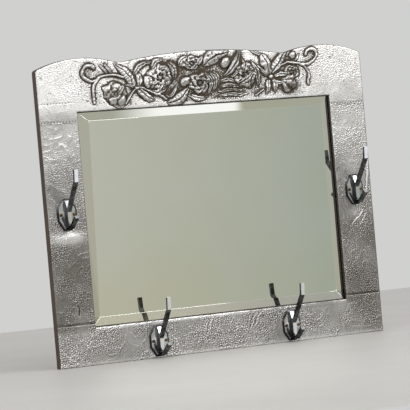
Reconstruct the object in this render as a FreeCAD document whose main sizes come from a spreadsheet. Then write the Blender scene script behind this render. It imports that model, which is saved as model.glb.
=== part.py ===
"""A landscape hall mirror: a timber frame faced with pewter sheet, a bevelled plate and four coat hooks.

Millimetres. The origin is the middle of the mirror opening, on the wall side of the backing boards.
X runs to the viewer's right, Y into the wall and Z up, so the room is on the negative Y side.
"""

import FreeCAD, Part
import math
import os

import Sketcher

# Driving dimensions, one cell each
SIZES = {
    # timber frame
    "opening_width": 622.0,
    "opening_height": 457.0,
    "stile_width": 89.0,
    "bottom_rail_height": 80.0,
    "top_rail_height": 94.0,
    "timber_thickness": 17.0,
    "lip_thickness": 5.5,
    "rebate_width": 8.0,
    # crest of the top rail, measured from the top rail's height at its ends
    "crest_rise": 22.0,
    "crest_radius": 1250.0,
    "hump_rise": 20.0,
    "hump_radius": 270.0,
    "hump_offset": 293.0,
    "dip_radius": 55.0,
    "corner_radius": 7.0,
    # dowels of the frame joints
    "dowel_diameter": 8.0,
    "dowel_length": 50.0,
    "dowel_pitch": 36.0,
    "dowel_clearance": 0.05,
    "dowel_end_gap": 0.8,
    # pewter facing
    "sheet_thickness": 1.0,
    "top_leg": 22.0,
    "bottom_leg": 12.0,
    "seam_gap": 0.3,
    "pin_head_diameter": 2.6,
    "pin_head_height": 0.9,
    "pin_shank_diameter": 1.1,
    "pin_length": 5.0,
    "pin_pitch": 7.0,
    "pin_margin": 5.0,
    "pin_edge": 3.0,
    # raised floral band of the top sheet
    "relief_height": 6.0,
    "tendril_thickness": 5.0,
    "motif_grid": 1.0,
    # mirror plate and what holds it
    "glass_thickness": 5.0,
    "glass_clearance": 1.0,
    "glass_seat_gap": 0.2,
    "bevel_width": 27.0,
    "bevel_edge": 2.5,
    "block_length": 50.0,
    "block_width": 6.5,
    "block_inset": 90.0,
    # backing boards
    "board_thickness": 6.0,
    "board_overlap": 20.0,
    "board_gap": 0.6,
    "board_screw_head_diameter": 6.0,
    "board_screw_head_depth": 2.2,
    "board_screw_dome": 0.05,
    "board_screw_shank_diameter": 3.0,
    "board_screw_length": 16.0,
    "board_screw_slot": 0.8,
    "board_screw_sink": 0.3,
    "board_screw_inset": 55.0,
    # coat hooks
    "hook_plate_width": 45.0,
    "hook_plate_height": 67.0,
    "hook_cut_across": 13.0,
    "hook_cut_down": 20.0,
    "hook_rim": 1.8,
    "hook_face_rise": 2.6,
    "hook_face_width": 26.0,
    "hook_face_height": 48.0,
    "hook_bar_width": 8.5,
    "hook_bar_thickness": 7.0,
    "hook_rib_height": 60.0,
    "hook_rib_depth": 15.0,
    "hook_rib_crown": 6.0,
    "hook_rib_shoulder": 20.0,
    "prong_root_rise": 6.0,
    "prong_root_out": 11.0,
    "prong_kink_out": 59.0,
    "prong_kink_rise": 68.0,
    "prong_tip_out": 61.5,
    "prong_tip_rise": 93.0,
    "lower_prong_drop": 26.5,
    "lower_prong_bend_out": 22.0,
    "lower_prong_tip_out": 49.5,
    "lower_prong_tip_drop": 6.0,
    "side_hook_height": 14.0,
    "lower_hook_offset": 164.5,
    "lower_hook_drop": 3.5,
    "hook_screw_pitch": 30.0,
    "hook_screw_head_diameter": 7.0,
    "hook_screw_head_depth": 2.2,
    "hook_screw_dome": 0.9,
    "hook_screw_shank_diameter": 3.4,
    "hook_screw_length": 15.0,
    "hook_screw_slot": 0.9,
    "hook_screw_sink": 1.0,
    "screw_clearance": 0.2,
    # strap hangers and their rings
    "hanger_drop": 78.5,
    "strap_width": 14.0,
    "strap_thickness": 1.2,
    "strap_length": 38.0,
    "strap_screw_first": 9.0,
    "strap_screw_pitch": 20.0,
    "strap_screw_head_diameter": 5.6,
    "strap_screw_head_height": 1.6,
    "strap_screw_shank_diameter": 2.8,
    "strap_screw_length": 12.0,
    "strap_screw_slot": 0.7,
    "ring_wire_diameter": 2.6,
    "ring_width": 22.6,
    "ring_drop": 17.0,
    "ring_corner": 3.0,
    "ring_clearance": 0.08,
}

# Places worked out from the driving dimensions
HALF_WIDTH = "(sizes.opening_width / 2)"
HALF_HEIGHT = "(sizes.opening_height / 2)"
OUTER_X = f"({HALF_WIDTH} + sizes.stile_width)"
REBATE_X = f"({HALF_WIDTH} + sizes.rebate_width)"
REBATE_Z = f"({HALF_HEIGHT} + sizes.rebate_width)"
BOTTOM_Z = f"(-{HALF_HEIGHT} - sizes.bottom_rail_height)"
CORNER_Z = f"({HALF_HEIGHT} + sizes.top_rail_height)"
CREST_LIMIT_Z = f"({CORNER_Z} + sizes.crest_rise + sizes.hump_rise)"
TOP_SEAM_Z = f"({HALF_HEIGHT} - sizes.top_leg)"
BOTTOM_SEAM_Z = f"(-{HALF_HEIGHT} + sizes.bottom_leg)"
TIMBER_BACK = "(-sizes.board_thickness)"
TIMBER_FRONT = f"({TIMBER_BACK} - sizes.timber_thickness)"
TIMBER_MIDDLE = f"({TIMBER_BACK} - sizes.timber_thickness / 2)"
LIP_BACK = f"({TIMBER_FRONT} + sizes.lip_thickness)"
FACE = f"({TIMBER_FRONT} - sizes.sheet_thickness)"
GLASS_COVER = "(sizes.rebate_width - sizes.glass_clearance)"
GLASS_AT_LIP = (
    "(sizes.bevel_edge + (sizes.glass_thickness - sizes.bevel_edge)"
    f" * {GLASS_COVER} / sizes.bevel_width)"
)
GLASS_BACK = f"({LIP_BACK} + sizes.glass_seat_gap + {GLASS_AT_LIP})"
GLASS_X = f"({HALF_WIDTH} + {GLASS_COVER})"
GLASS_Z = f"({HALF_HEIGHT} + {GLASS_COVER})"
BOARD_X = f"({HALF_WIDTH} + sizes.board_overlap)"
BOARD_Z = f"({HALF_HEIGHT} + sizes.board_overlap)"
STILE_MIDDLE_X = f"({HALF_WIDTH} + sizes.stile_width / 2)"
LOWER_HOOK_Z = f"(-{HALF_HEIGHT} - sizes.bottom_rail_height / 2 - sizes.lower_hook_drop)"
HANGER_X = f"(({BOARD_X} + {OUTER_X}) / 2)"
EYE_RADIUS = "(sizes.ring_wire_diameter / 2 + sizes.ring_clearance + sizes.strap_thickness)"
EYE_Y = f"({TIMBER_BACK} + {EYE_RADIUS})"

# Proportions of a fastener's head: where its dome turns down, its rim and how deep its slot is
SHOULDER_OUT = 0.6
SHOULDER_RISE = 0.8
ROUND_RIM_SHARE = 0.3
SUNK_SLOT_SHARE = 0.4
ROUND_SLOT_SHARE = 0.6

SIDES = {"left": -1, "right": 1}
ENDS = {"top": 1, "bottom": -1}
ALONG_X = FreeCAD.Rotation(FreeCAD.Vector(0, 1, 0), 90)
TO_WALL = FreeCAD.Rotation(FreeCAD.Vector(1, 0, 0), -90)
TO_ROOM = FreeCAD.Rotation(FreeCAD.Vector(1, 0, 0), 90)
UPRIGHT = FreeCAD.Rotation()

doc = FreeCAD.newDocument("HallMirror")
sheet = doc.addObject("Spreadsheet::Sheet", "sizes")
for row, (alias, size) in enumerate(SIZES.items(), start=1):
    sheet.set(f"A{row}", alias.replace("_", " "))
    sheet.set(f"B{row}", str(size))
    sheet.setAlias(f"B{row}", alias)
doc.recompute()

pieces = []


def value(expression):
    """The present size of an expression on the sheet, in millimetres."""
    return float(sheet.evalExpression(expression))


def signed(sign, expression):
    """The expression on the side that the sign gives."""
    return f"({sign} * {expression})"


def on_side(sign, low, high):
    """A low and high bound on the side that the sign gives."""
    return (low, high) if sign > 0 else (f"-{high}", f"-{low}")


def keep(solid, label):
    """Names a finished piece and puts it among those that are written out."""
    solid.Label = label
    pieces.append(solid)
    return solid


def place(solid, x="0", y="0", z="0", rotation=UPRIGHT):
    """Turns a solid and ties its place to the sheet."""
    solid.Placement = FreeCAD.Placement(FreeCAD.Vector(), rotation)
    for axis, expression in zip("xyz", (x, y, z)):
        solid.setExpression(f".Placement.Base.{axis}", expression)
    return solid


def box(name, across, through, upward):
    """A box between pairs of low and high bounds along X, Y and Z."""
    solid = doc.addObject("Part::Box", name)
    for side, (low, high) in zip(("Length", "Width", "Height"), (across, through, upward)):
        solid.setExpression(side, f"{high} - ({low})")
    return place(solid, across[0], through[0], upward[0])


def cylinder(name, radius, length, x, y, z, rotation=UPRIGHT):
    """A cylinder whose foot is at a point and whose axis the rotation gives."""
    solid = doc.addObject("Part::Cylinder", name)
    solid.setExpression("Radius", radius)
    solid.setExpression("Height", length)
    return place(solid, x, y, z, rotation)


def cone(name, foot_radius, head_radius, length, x, y, z, rotation):
    """A cone from its foot radius to its head radius along the rotation's axis."""
    solid = doc.addObject("Part::Cone", name)
    solid.setExpression("Radius1", foot_radius)
    solid.setExpression("Radius2", head_radius)
    solid.setExpression("Height", length)
    return place(solid, x, y, z, rotation)


def torus(name, radius, tube, start, sweep, x, z):
    """An arc of round wire in the XZ plane, from a start angle through a sweep, in degrees."""
    solid = doc.addObject("Part::Torus", name)
    solid.setExpression("Radius1", radius)
    solid.setExpression("Radius2", tube)
    solid.Angle3 = sweep
    turn = FreeCAD.Rotation(FreeCAD.Vector(0, 0, 1), start)
    return place(solid, x=x, z=z, rotation=TO_ROOM.multiply(turn))


def joined(kind, name, solids):
    """A union or a loose group of several solids."""
    group = doc.addObject(kind, name)
    setattr(group, "Links" if kind == "Part::Compound" else "Shapes", solids)
    return group


def fuse(name, solids):
    """One solid made of several that meet."""
    return joined("Part::MultiFuse", name, solids)


def loose_group(name, solids):
    """Several separate solids held as one piece of the list."""
    return joined("Part::Compound", name, solids)


def cut(name, base, tools):
    """A solid less several tools."""
    result = doc.addObject("Part::Cut", name)
    result.Base = base
    result.Tool = tools[0] if len(tools) == 1 else loose_group(f"{name}_tools", tools)
    return result


def origin_plane(body, role):
    """One of a body's own three planes."""
    return next(plane for plane in body.Origin.OriginFeatures if plane.Role == role)


def sketch_on(body, role, name, offset="0"):
    """An empty sketch on one of the body's planes, moved along its normal."""
    sketch = body.newObject("Sketcher::SketchObject", name)
    sketch.AttachmentSupport = [(origin_plane(body, role), "")]
    sketch.MapMode = "FlatFace"
    sketch.setExpression(".AttachmentOffset.Base.z", offset)
    return sketch


def run_lines(sketch, corners, closed=True):
    """Straight edges through corners whose two coordinates are tied to the sheet."""
    points = [FreeCAD.Vector(value(u), value(v), 0) for u, v in corners]
    last = len(points) if closed else len(points) - 1
    for index in range(last):
        sketch.addGeometry(Part.LineSegment(points[index], points[(index + 1) % len(points)]))
    for index in range(last if closed else last - 1):
        sketch.addConstraint(Sketcher.Constraint("Coincident", index, 2, (index + 1) % last, 1))
    for index, (corner, point) in enumerate(zip(corners, points)):
        edge, end = (index, 1) if index < last else (index - 1, 2)
        for kind, expression, distance in zip(("DistanceX", "DistanceY"), corner, point):
            limit = sketch.addConstraint(Sketcher.Constraint(kind, -1, 1, edge, end, distance))
            sketch.setExpression(f"Constraints[{limit}]", expression)
    return sketch


def rectangle(width, height, middle="0"):
    """The corners of a rectangle about the upright axis."""
    sides = ((-1, -1), (1, -1), (1, 1), (-1, 1))
    return [(f"{a} * {width} / 2", f"{middle} + {b} * {height} / 2") for a, b in sides]


def octagon(width, height, across, down):
    """The corners of a tall octagon with cut corners."""
    quarter = ((f"{width} / 2", f"{height} / 2 - {down}"), (f"{width} / 2 - {across}", f"{height} / 2"))
    corners = []
    for a, b, order in ((1, 1, quarter), (-1, 1, quarter[::-1]), (-1, -1, quarter), (1, -1, quarter[::-1])):
        corners += [(f"{a} * ({u})", f"{b} * ({v})") for u, v in order]
    return corners


def pad(body, sketch, name, length, midplane=False):
    """A sketch padded along its normal, or to both sides of it."""
    feature = body.newObject("PartDesign::Pad", name)
    feature.Profile = sketch
    feature.setExpression("Length", length)
    feature.Midplane = midplane
    return feature


def bar(body, name, profile, path):
    """A profile swept along a path of straight runs with mitred bends."""
    feature = body.newObject("PartDesign::AdditivePipe", name)
    feature.Profile = profile
    feature.Spine = (path, [f"Edge{index + 1}" for index in range(path.GeometryCount)])
    feature.Transition = "Right corner"
    return feature


def slot_across(body, kind, top, depth):
    """A screwdriver slot across the head of a turned screw."""
    sketch = sketch_on(body, "XY_Plane", f"{kind}_slot_outline", top)
    run_lines(sketch, rectangle(f"(2 * sizes.{kind}_head_diameter)", f"sizes.{kind}_slot"))
    feature = body.newObject("PartDesign::Pocket", f"{kind}_slot")
    feature.Profile = sketch
    feature.setExpression("Length", depth)
    return feature


def turned(name, outline):
    """A body turned about Z from the corners of its half section, each a radius and a height."""
    body = doc.addObject("PartDesign::Body", name)
    sketch = sketch_on(body, "XZ_Plane", f"{name}_section")
    run_lines(sketch, outline)
    feature = body.newObject("PartDesign::Revolution", f"{name}_turning")
    feature.Profile = sketch
    feature.ReferenceAxis = (sketch, ["V_Axis"])
    feature.Angle = 360.0
    return body


def sunk_screw(kind):
    """A slotted wood screw whose sunk head has its rim at the local XY plane and its dome above."""
    head = f"(sizes.{kind}_head_diameter / 2)"
    shank = f"(sizes.{kind}_shank_diameter / 2)"
    dome = f"sizes.{kind}_dome"
    depth = f"sizes.{kind}_head_depth"
    length = f"sizes.{kind}_length"
    outline = [
        ("0", dome), (f"{head} * {SHOULDER_OUT}", f"{dome} * {SHOULDER_RISE}"), (head, "0"),
        (shank, f"-{depth}"), (shank, f"-{length} + {shank} * 2"), ("0", f"-{length}"),
    ]
    body = turned(kind, outline)
    slot_across(body, kind, dome, f"{dome} + {depth} * {SUNK_SLOT_SHARE}")
    return body


def round_screw(kind):
    """A slotted wood screw whose round head stands on the local XY plane."""
    head = f"(sizes.{kind}_head_diameter / 2)"
    shank = f"(sizes.{kind}_shank_diameter / 2)"
    height = f"sizes.{kind}_head_height"
    length = f"sizes.{kind}_length"
    outline = [
        ("0", height), (f"{head} * {SHOULDER_OUT}", f"{height} * {SHOULDER_RISE}"),
        (head, f"{height} * {ROUND_RIM_SHARE}"), (head, "0"),
        (shank, "0"), (shank, f"-{length} + {shank} * 2"), ("0", f"-{length}"),
    ]
    body = turned(kind, outline)
    slot_across(body, kind, height, f"{height} * {ROUND_SLOT_SHARE}")
    return body


def facing_pin():
    """A small domed pin whose head stands on the local XY plane."""
    head = "(sizes.pin_head_diameter / 2)"
    shank = "(sizes.pin_shank_diameter / 2)"
    height = "sizes.pin_head_height"
    outline = [
        ("0", height), (f"{head} * {SHOULDER_OUT}", f"{height} * {SHOULDER_RISE}"), (head, "0"),
        (shank, "0"), (shank, f"-sizes.pin_length + {shank} * 2"), ("0", "-sizes.pin_length"),
    ]
    return turned("pin", outline)


def copies(label, master, places, rotation):
    """Separate copies of one fastener at several places, as one piece of the list."""
    group = doc.addObject("Part::Feature", label)
    solids = []
    for x, y, z in places:
        solid = master.Shape.copy()
        solid.Placement = FreeCAD.Placement(FreeCAD.Vector(value(x), value(y), value(z)), rotation)
        solids.append(solid)
    group.Shape = Part.makeCompound(solids)
    return keep(group, label)


def crest_slab(name, foot, front, back):
    """A slab that runs from a level foot up to the crest's three humps, with eased dips and ends."""
    blank = box(f"{name}_blank", (f"-{OUTER_X}", OUTER_X), (front, back), (foot, CREST_LIMIT_Z))
    discs = []
    humps = (("left", "-1", "hump"), ("middle", "0", "crest"), ("right", "1", "hump"))
    for side, share, kind in humps:
        radius = f"sizes.{kind}_radius"
        middle = f"{CORNER_Z} + sizes.{kind}_rise - {radius}"
        x = f"{share} * sizes.hump_offset"
        disc = cylinder(f"{name}_{side}_disc", radius, f"{back} - {front}", x, front, middle, TO_WALL)
        discs.append(disc)
    slab = doc.addObject("Part::Common", f"{name}_slab")
    slab.Base = blank
    slab.Tool = fuse(f"{name}_humps", discs)
    doc.recompute()
    eased = doc.addObject("Part::Fillet", f"{name}_eased")
    eased.Base = slab
    edges = []
    for index, edge in enumerate(slab.Shape.Edges, start=1):
        low, high = (vertex.Point for vertex in (edge.Vertexes[0], edge.Vertexes[-1]))
        runs_through = abs(low.x - high.x) + abs(low.z - high.z) < 1e-6 < abs(low.y - high.y)
        if runs_through and low.z > value(foot) + 1e-6:
            at_end = abs(low.x) > value(OUTER_X) - 1e-6
            radius = sheet.corner_radius if at_end else sheet.dip_radius
            edges.append((index, radius, radius))
    eased.Edges = edges
    return eased


# Dowels of the four joints, and the holes that they leave in the rails and stiles
DOWEL_RADIUS = "sizes.dowel_diameter / 2"
HOLE_RADIUS = f"{DOWEL_RADIUS} + sizes.dowel_clearance"
HOLE_LENGTH = "sizes.dowel_length + 2 * sizes.dowel_end_gap"
dowels = []
dowel_holes = {}
for end, up in ENDS.items():
    for side, out in SIDES.items():
        for place_name, step in (("inner", -1), ("outer", 1)):
            name = f"{end}_{side}_{place_name}_dowel"
            x = signed(out, f"(({REBATE_X} + {OUTER_X}) / 2 + {step} * sizes.dowel_pitch / 2)")
            foot = f"{signed(up, HALF_HEIGHT)} - sizes.dowel_length / 2"
            dowels.append(cylinder(name, DOWEL_RADIUS, "sizes.dowel_length", x, TIMBER_MIDDLE, foot))
            hole_foot = f"{foot} - sizes.dowel_end_gap"
            hole = cylinder(f"{name}_hole", HOLE_RADIUS, HOLE_LENGTH, x, TIMBER_MIDDLE, hole_foot)
            dowel_holes.setdefault(end, []).append(hole)
            dowel_holes.setdefault(side, []).append(hole)
keep(loose_group("corner_dowels", dowels), "corner_dowels")

# Rails and stiles, rebated behind the lip for the mirror plate
THROUGH_TIMBER = (TIMBER_FRONT, TIMBER_BACK)
REBATE_DEPTH = (LIP_BACK, TIMBER_BACK)
WHOLE_WIDTH = (f"-{OUTER_X}", OUTER_X)
UNDER_OPENING = (BOTTOM_Z, f"-{HALF_HEIGHT}")
rail_blanks = {
    "top": crest_slab("top_rail", HALF_HEIGHT, TIMBER_FRONT, TIMBER_BACK),
    "bottom": box("bottom_rail_blank", WHOLE_WIDTH, THROUGH_TIMBER, UNDER_OPENING),
}
for end, up in ENDS.items():
    across = (f"-{REBATE_X}", REBATE_X)
    rebate = box(f"{end}_rebate", across, REBATE_DEPTH, on_side(up, HALF_HEIGHT, REBATE_Z))
    keep(cut(f"{end}_rail", rail_blanks[end], [rebate] + dowel_holes[end]), f"{end}_rail")
BETWEEN_RAILS = (f"-{HALF_HEIGHT}", HALF_HEIGHT)
for side, out in SIDES.items():
    blank = box(f"{side}_stile_blank", on_side(out, HALF_WIDTH, OUTER_X), THROUGH_TIMBER, BETWEEN_RAILS)
    rebate = box(f"{side}_rebate", on_side(out, HALF_WIDTH, REBATE_X), REBATE_DEPTH, BETWEEN_RAILS)
    keep(cut(f"{side}_stile", blank, [rebate] + dowel_holes[side]), f"{side}_stile")

# Raised floral band: one half of the leaves, flower heads and tendrils, drawn in squares of the motif
# grid from the middle of the opening's top edge. A leaf has its middle, length, width and lean, a flower
# head its middle and width, and a tendril its centre, radius, start and sweep.
LEAVES = (
    (194, 78, 68, 20, 46), (150, 74, 56, 17, 112), (142, 27, 54, 14, 28), (153, 25, 40, 11, 62),
    (72, 25, 62, 17, 14), (84, 98, 50, 18, 158), (34, 58, 48, 16, 60), (246, 92, 24, 8, 128),
)
FLOWER_HEADS = ((216, 44, 52), (112, 60, 58), (46, 88, 48), (28, 24, 36))
TENDRILS = ((283, 84, 16, -110, 300), (246, 20, 50, 62, 70), (228, 24, 42, -8, 74))


def on_band(solid, x, z, lean):
    """Lays a motif on the face of the top sheet, leaning in the plane of the frame."""
    turn = FreeCAD.Rotation(FreeCAD.Vector(0, 0, 1), lean)
    height = f"{HALF_HEIGHT} + {z} * sizes.motif_grid"
    return place(solid, f"{x} * sizes.motif_grid", FACE, height, TO_ROOM.multiply(turn))


def raised_oval(name, x, z, length, width, lean=0):
    """An oval swelling of the sheet."""
    solid = doc.addObject("Part::Ellipsoid", name)
    solid.setExpression("Radius1", "sizes.relief_height")
    solid.setExpression("Radius2", f"{length} * sizes.motif_grid / 2")
    solid.setExpression("Radius3", f"{width} * sizes.motif_grid / 2")
    return on_band(solid, x, z, lean)


def floral_band():
    """The raised motifs of both halves, kept within the outline of the top sheet."""
    motifs = []
    for number, leaf in enumerate(LEAVES, start=1):
        motifs.append(raised_oval(f"leaf_{number}", *leaf))
    for number, (x, z, width) in enumerate(FLOWER_HEADS, start=1):
        motifs.append(raised_oval(f"flower_head_{number}", x, z, width, width))
    for number, (x, z, radius, start, sweep) in enumerate(TENDRILS, start=1):
        wire = doc.addObject("Part::Torus", f"tendril_{number}")
        wire.setExpression("Radius1", f"{radius} * sizes.motif_grid")
        wire.setExpression("Radius2", "sizes.tendril_thickness / 2")
        wire.Angle3 = sweep
        motifs.append(on_band(wire, x, z, start))
    half = fuse("floral_half", motifs)
    other_half = doc.addObject("Part::Mirroring", "floral_other_half")
    other_half.Source = half
    other_half.Normal = FreeCAD.Vector(1, 0, 0)
    band = doc.addObject("Part::Common", "floral_band")
    band.Base = fuse("floral_halves", [half, other_half])
    in_front = f"({FACE} - 2 * sizes.relief_height)"
    band.Tool = crest_slab("floral_field", HALF_HEIGHT, in_front, TIMBER_FRONT)
    return band


# Pewter facing: top and bottom sheets with legs down and up the stiles, and a sheet on each stile
THROUGH_SHEET = (FACE, TIMBER_FRONT)
sheet_fields = {
    "top": crest_slab("top_facing", HALF_HEIGHT, FACE, TIMBER_FRONT),
    "bottom": box("bottom_facing_field", WHOLE_WIDTH, THROUGH_SHEET, UNDER_OPENING),
}
raised_work = {"top": [floral_band()], "bottom": []}
leg_heights = {"top": (TOP_SEAM_Z, HALF_HEIGHT), "bottom": (f"-{HALF_HEIGHT}", BOTTOM_SEAM_Z)}
for end in ENDS:
    legs = []
    for side, out in SIDES.items():
        reach = on_side(out, HALF_WIDTH, OUTER_X)
        legs.append(box(f"{end}_{side}_leg", reach, THROUGH_SHEET, leg_heights[end]))
    facing = fuse(f"{end}_facing", [sheet_fields[end]] + legs + raised_work[end])
    facing.Refine = True
    keep(facing, f"{end}_facing")
BETWEEN_SEAMS = (f"{BOTTOM_SEAM_Z} + sizes.seam_gap", f"{TOP_SEAM_Z} - sizes.seam_gap")
for side, out in SIDES.items():
    reach = on_side(out, HALF_WIDTH, OUTER_X)
    keep(box(f"{side}_facing", reach, THROUGH_SHEET, BETWEEN_SEAMS), f"{side}_facing")

# Mirror plate: a level back slab and a bevelled front
through_slab = (f"{GLASS_BACK} - sizes.bevel_edge", GLASS_BACK)
glass_slab = box("glass_slab", (f"-{GLASS_X}", GLASS_X), through_slab, (f"-{GLASS_Z}", GLASS_Z))
bevel = doc.addObject("Part::Wedge", "glass_bevel")
bevel_bounds = {
    "Xmin": f"sizes.bevel_width - {GLASS_X}", "Xmax": f"{GLASS_X} - sizes.bevel_width",
    "Zmin": f"sizes.bevel_width - {GLASS_Z}", "Zmax": f"{GLASS_Z} - sizes.bevel_width",
    "X2min": f"-{GLASS_X}", "X2max": GLASS_X, "Z2min": f"-{GLASS_Z}", "Z2max": GLASS_Z,
    "Ymin": f"{GLASS_BACK} - sizes.glass_thickness", "Ymax": f"{GLASS_BACK} - sizes.bevel_edge",
}
for bound, expression in bevel_bounds.items():
    bevel.setExpression(bound, expression)
keep(fuse("mirror_plate", [glass_slab, bevel]), "mirror_plate")

# Glazing blocks in the rebate, behind the plate's edge
THROUGH_BLOCK = (GLASS_BACK, TIMBER_BACK)
BLOCK_RUN_X = f"({HALF_WIDTH} - sizes.block_inset)"
BLOCK_RUN_Z = f"({HALF_HEIGHT} - sizes.block_inset)"
BLOCK_INNER_X = f"({REBATE_X} - sizes.block_width)"
BLOCK_INNER_Z = f"({REBATE_Z} - sizes.block_width)"
blocks = []


def block_span(middle):
    """The two ends of a glazing block along its rail or stile."""
    return (f"{middle} - sizes.block_length / 2", f"{middle} + sizes.block_length / 2")


for end, up in ENDS.items():
    at_wall = on_side(up, BLOCK_INNER_Z, REBATE_Z)
    for index, step in enumerate((-1, 0, 1), start=1):
        span = block_span(f"{step} * {BLOCK_RUN_X}")
        blocks.append(box(f"{end}_block_{index}", span, THROUGH_BLOCK, at_wall))
for side, out in SIDES.items():
    at_wall = on_side(out, BLOCK_INNER_X, REBATE_X)
    for index, step in enumerate((-1, 1), start=1):
        span = block_span(f"{step} * {BLOCK_RUN_Z}")
        blocks.append(box(f"{side}_block_{index}", at_wall, THROUGH_BLOCK, span))
keep(loose_group("glazing_blocks", blocks), "glazing_blocks")

# Backing boards side by side, screwed to the frame round the rebate
BOARD_NAMES = ("left", "middle", "right")
BOARD_PITCH = f"((2 * {BOARD_X} + sizes.board_gap) / {len(BOARD_NAMES)})"
BOARD_SCREW_X = f"(({REBATE_X} + {BOARD_X}) / 2)"
BOARD_SCREW_Z = f"(({REBATE_Z} + {BOARD_Z}) / 2)"
BOARD_SCREW_Y = "(-sizes.board_screw_sink)"
board_screw_places = []
for index, board_name in enumerate(BOARD_NAMES):
    low = f"(-{BOARD_X} + {index} * {BOARD_PITCH})"
    high = f"({low} + {BOARD_PITCH} - sizes.board_gap)"
    blank = box(f"{board_name}_board_blank", (low, high), (TIMBER_BACK, "0"), (f"-{BOARD_Z}", BOARD_Z))
    places = []
    for up in ENDS.values():
        for x in (f"{low} + sizes.board_screw_inset", f"{high} - sizes.board_screw_inset"):
            places.append((x, BOARD_SCREW_Y, signed(up, BOARD_SCREW_Z)))
        if board_name in SIDES:
            x = signed(SIDES[board_name], BOARD_SCREW_X)
            places.append((x, BOARD_SCREW_Y, signed(up, f"({HALF_HEIGHT} - 2 * sizes.board_screw_inset)")))
    holes = []
    shank = "sizes.board_screw_shank_diameter / 2 + sizes.screw_clearance"
    head = "sizes.board_screw_head_diameter / 2 + sizes.screw_clearance"
    for number, (x, y, z) in enumerate(places, start=1):
        name = f"{board_name}_board_hole_{number}"
        foot = f"{y} - sizes.board_screw_head_depth"
        bore = cylinder(f"{name}_bore", shank, "sizes.board_thickness", x, TIMBER_BACK, z, TO_WALL)
        sink = cone(f"{name}_sink", shank, head, "sizes.board_screw_head_depth", x, foot, z, TO_WALL)
        mouth = cylinder(f"{name}_mouth", head, "sizes.board_screw_sink", x, y, z, TO_WALL)
        holes.append(fuse(name, [bore, sink, mouth]))
    keep(cut(f"{board_name}_board", blank, holes), f"back_board_{board_name}")
    board_screw_places += places
board_screw = sunk_screw("board_screw")
doc.recompute()
copies("back_board_screws", board_screw, board_screw_places, TO_WALL)

# Coat hooks: an eight-sided bevelled plate, an upright rib and two bent prongs in one casting
HOOK_FACE = "(sizes.hook_rim + sizes.hook_face_rise)"
RIB_HALF = "(sizes.hook_rib_height / 2)"
FACE_CUT_ACROSS = "(sizes.hook_cut_across * sizes.hook_face_width / sizes.hook_plate_width)"
FACE_CUT_DOWN = "(sizes.hook_cut_down * sizes.hook_face_height / sizes.hook_plate_height)"
PLATE = octagon(
    "sizes.hook_plate_width", "sizes.hook_plate_height", "sizes.hook_cut_across", "sizes.hook_cut_down",
)
PLATE_FACE = octagon("sizes.hook_face_width", "sizes.hook_face_height", FACE_CUT_ACROSS, FACE_CUT_DOWN)
RIB = [
    ("0", f"-{RIB_HALF}"), ("0", RIB_HALF), ("-sizes.hook_rib_crown", RIB_HALF),
    ("-sizes.hook_rib_depth", f"{RIB_HALF} - sizes.hook_rib_shoulder"),
    ("-sizes.hook_rib_depth", f"-{RIB_HALF} + sizes.hook_rib_crown"),
    ("-sizes.hook_rib_crown", f"-{RIB_HALF}"),
]
PRONG_PATHS = {
    "upper": [
        ("0", "sizes.prong_root_rise"), ("-sizes.prong_root_out", "sizes.prong_root_rise"),
        ("-sizes.prong_kink_out", "sizes.prong_kink_rise"),
        ("-sizes.prong_tip_out", "sizes.prong_tip_rise"),
    ],
    "lower": [
        ("0", "-sizes.lower_prong_drop"), ("-sizes.lower_prong_bend_out", "-sizes.lower_prong_drop"),
        ("-sizes.lower_prong_tip_out", "-sizes.lower_prong_tip_drop"),
    ],
}


def hook(label, x, z):
    """One coat hook, its plate against the pewter facing at a place on the frame."""
    body = doc.addObject("PartDesign::Body", f"{label}_blank")
    rim = run_lines(sketch_on(body, "XZ_Plane", f"{label}_rim_outline"), PLATE)
    pad(body, rim, f"{label}_rim", "sizes.hook_rim")
    slope = body.newObject("PartDesign::AdditiveLoft", f"{label}_slope")
    slope.Profile = run_lines(sketch_on(body, "XZ_Plane", f"{label}_slope_foot", "sizes.hook_rim"), PLATE)
    slope.Sections = [run_lines(sketch_on(body, "XZ_Plane", f"{label}_slope_top", HOOK_FACE), PLATE_FACE)]
    slope.Ruled = True
    rib = run_lines(sketch_on(body, "YZ_Plane", f"{label}_rib_outline"), RIB)
    pad(body, rib, f"{label}_rib", "sizes.hook_bar_width", midplane=True)
    for prong, route in PRONG_PATHS.items():
        section = sketch_on(body, "XZ_Plane", f"{label}_{prong}_section")
        run_lines(section, rectangle("sizes.hook_bar_width", "sizes.hook_bar_thickness", route[0][1]))
        path = run_lines(sketch_on(body, "YZ_Plane", f"{label}_{prong}_path"), route, closed=False)
        bar(body, f"{label}_{prong}_prong", section, path)
    place(body, x, FACE, z)
    doc.recompute()
    holes = []
    shank = "sizes.hook_screw_shank_diameter / 2 + sizes.screw_clearance"
    head = "sizes.hook_screw_head_diameter / 2 + sizes.screw_clearance"
    screw_places = []
    for side, out in SIDES.items():
        screw_x = f"{x} + {out} * sizes.hook_screw_pitch / 2"
        seat = f"({FACE} - {HOOK_FACE} + sizes.hook_screw_sink)"
        name = f"{label}_{side}_hole"
        bore = cylinder(f"{name}_bore", shank, HOOK_FACE, screw_x, FACE, z, TO_ROOM)
        foot = f"{seat} + sizes.hook_screw_head_depth"
        sink = cone(f"{name}_sink", shank, head, "sizes.hook_screw_head_depth", screw_x, foot, z, TO_ROOM)
        mouth = cylinder(f"{name}_mouth", head, "sizes.hook_screw_sink", screw_x, seat, z, TO_ROOM)
        holes.append(fuse(name, [bore, sink, mouth]))
        screw_places.append((screw_x, seat, z))
    keep(cut(f"{label}_casting", body, holes), label)
    return screw_places


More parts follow.
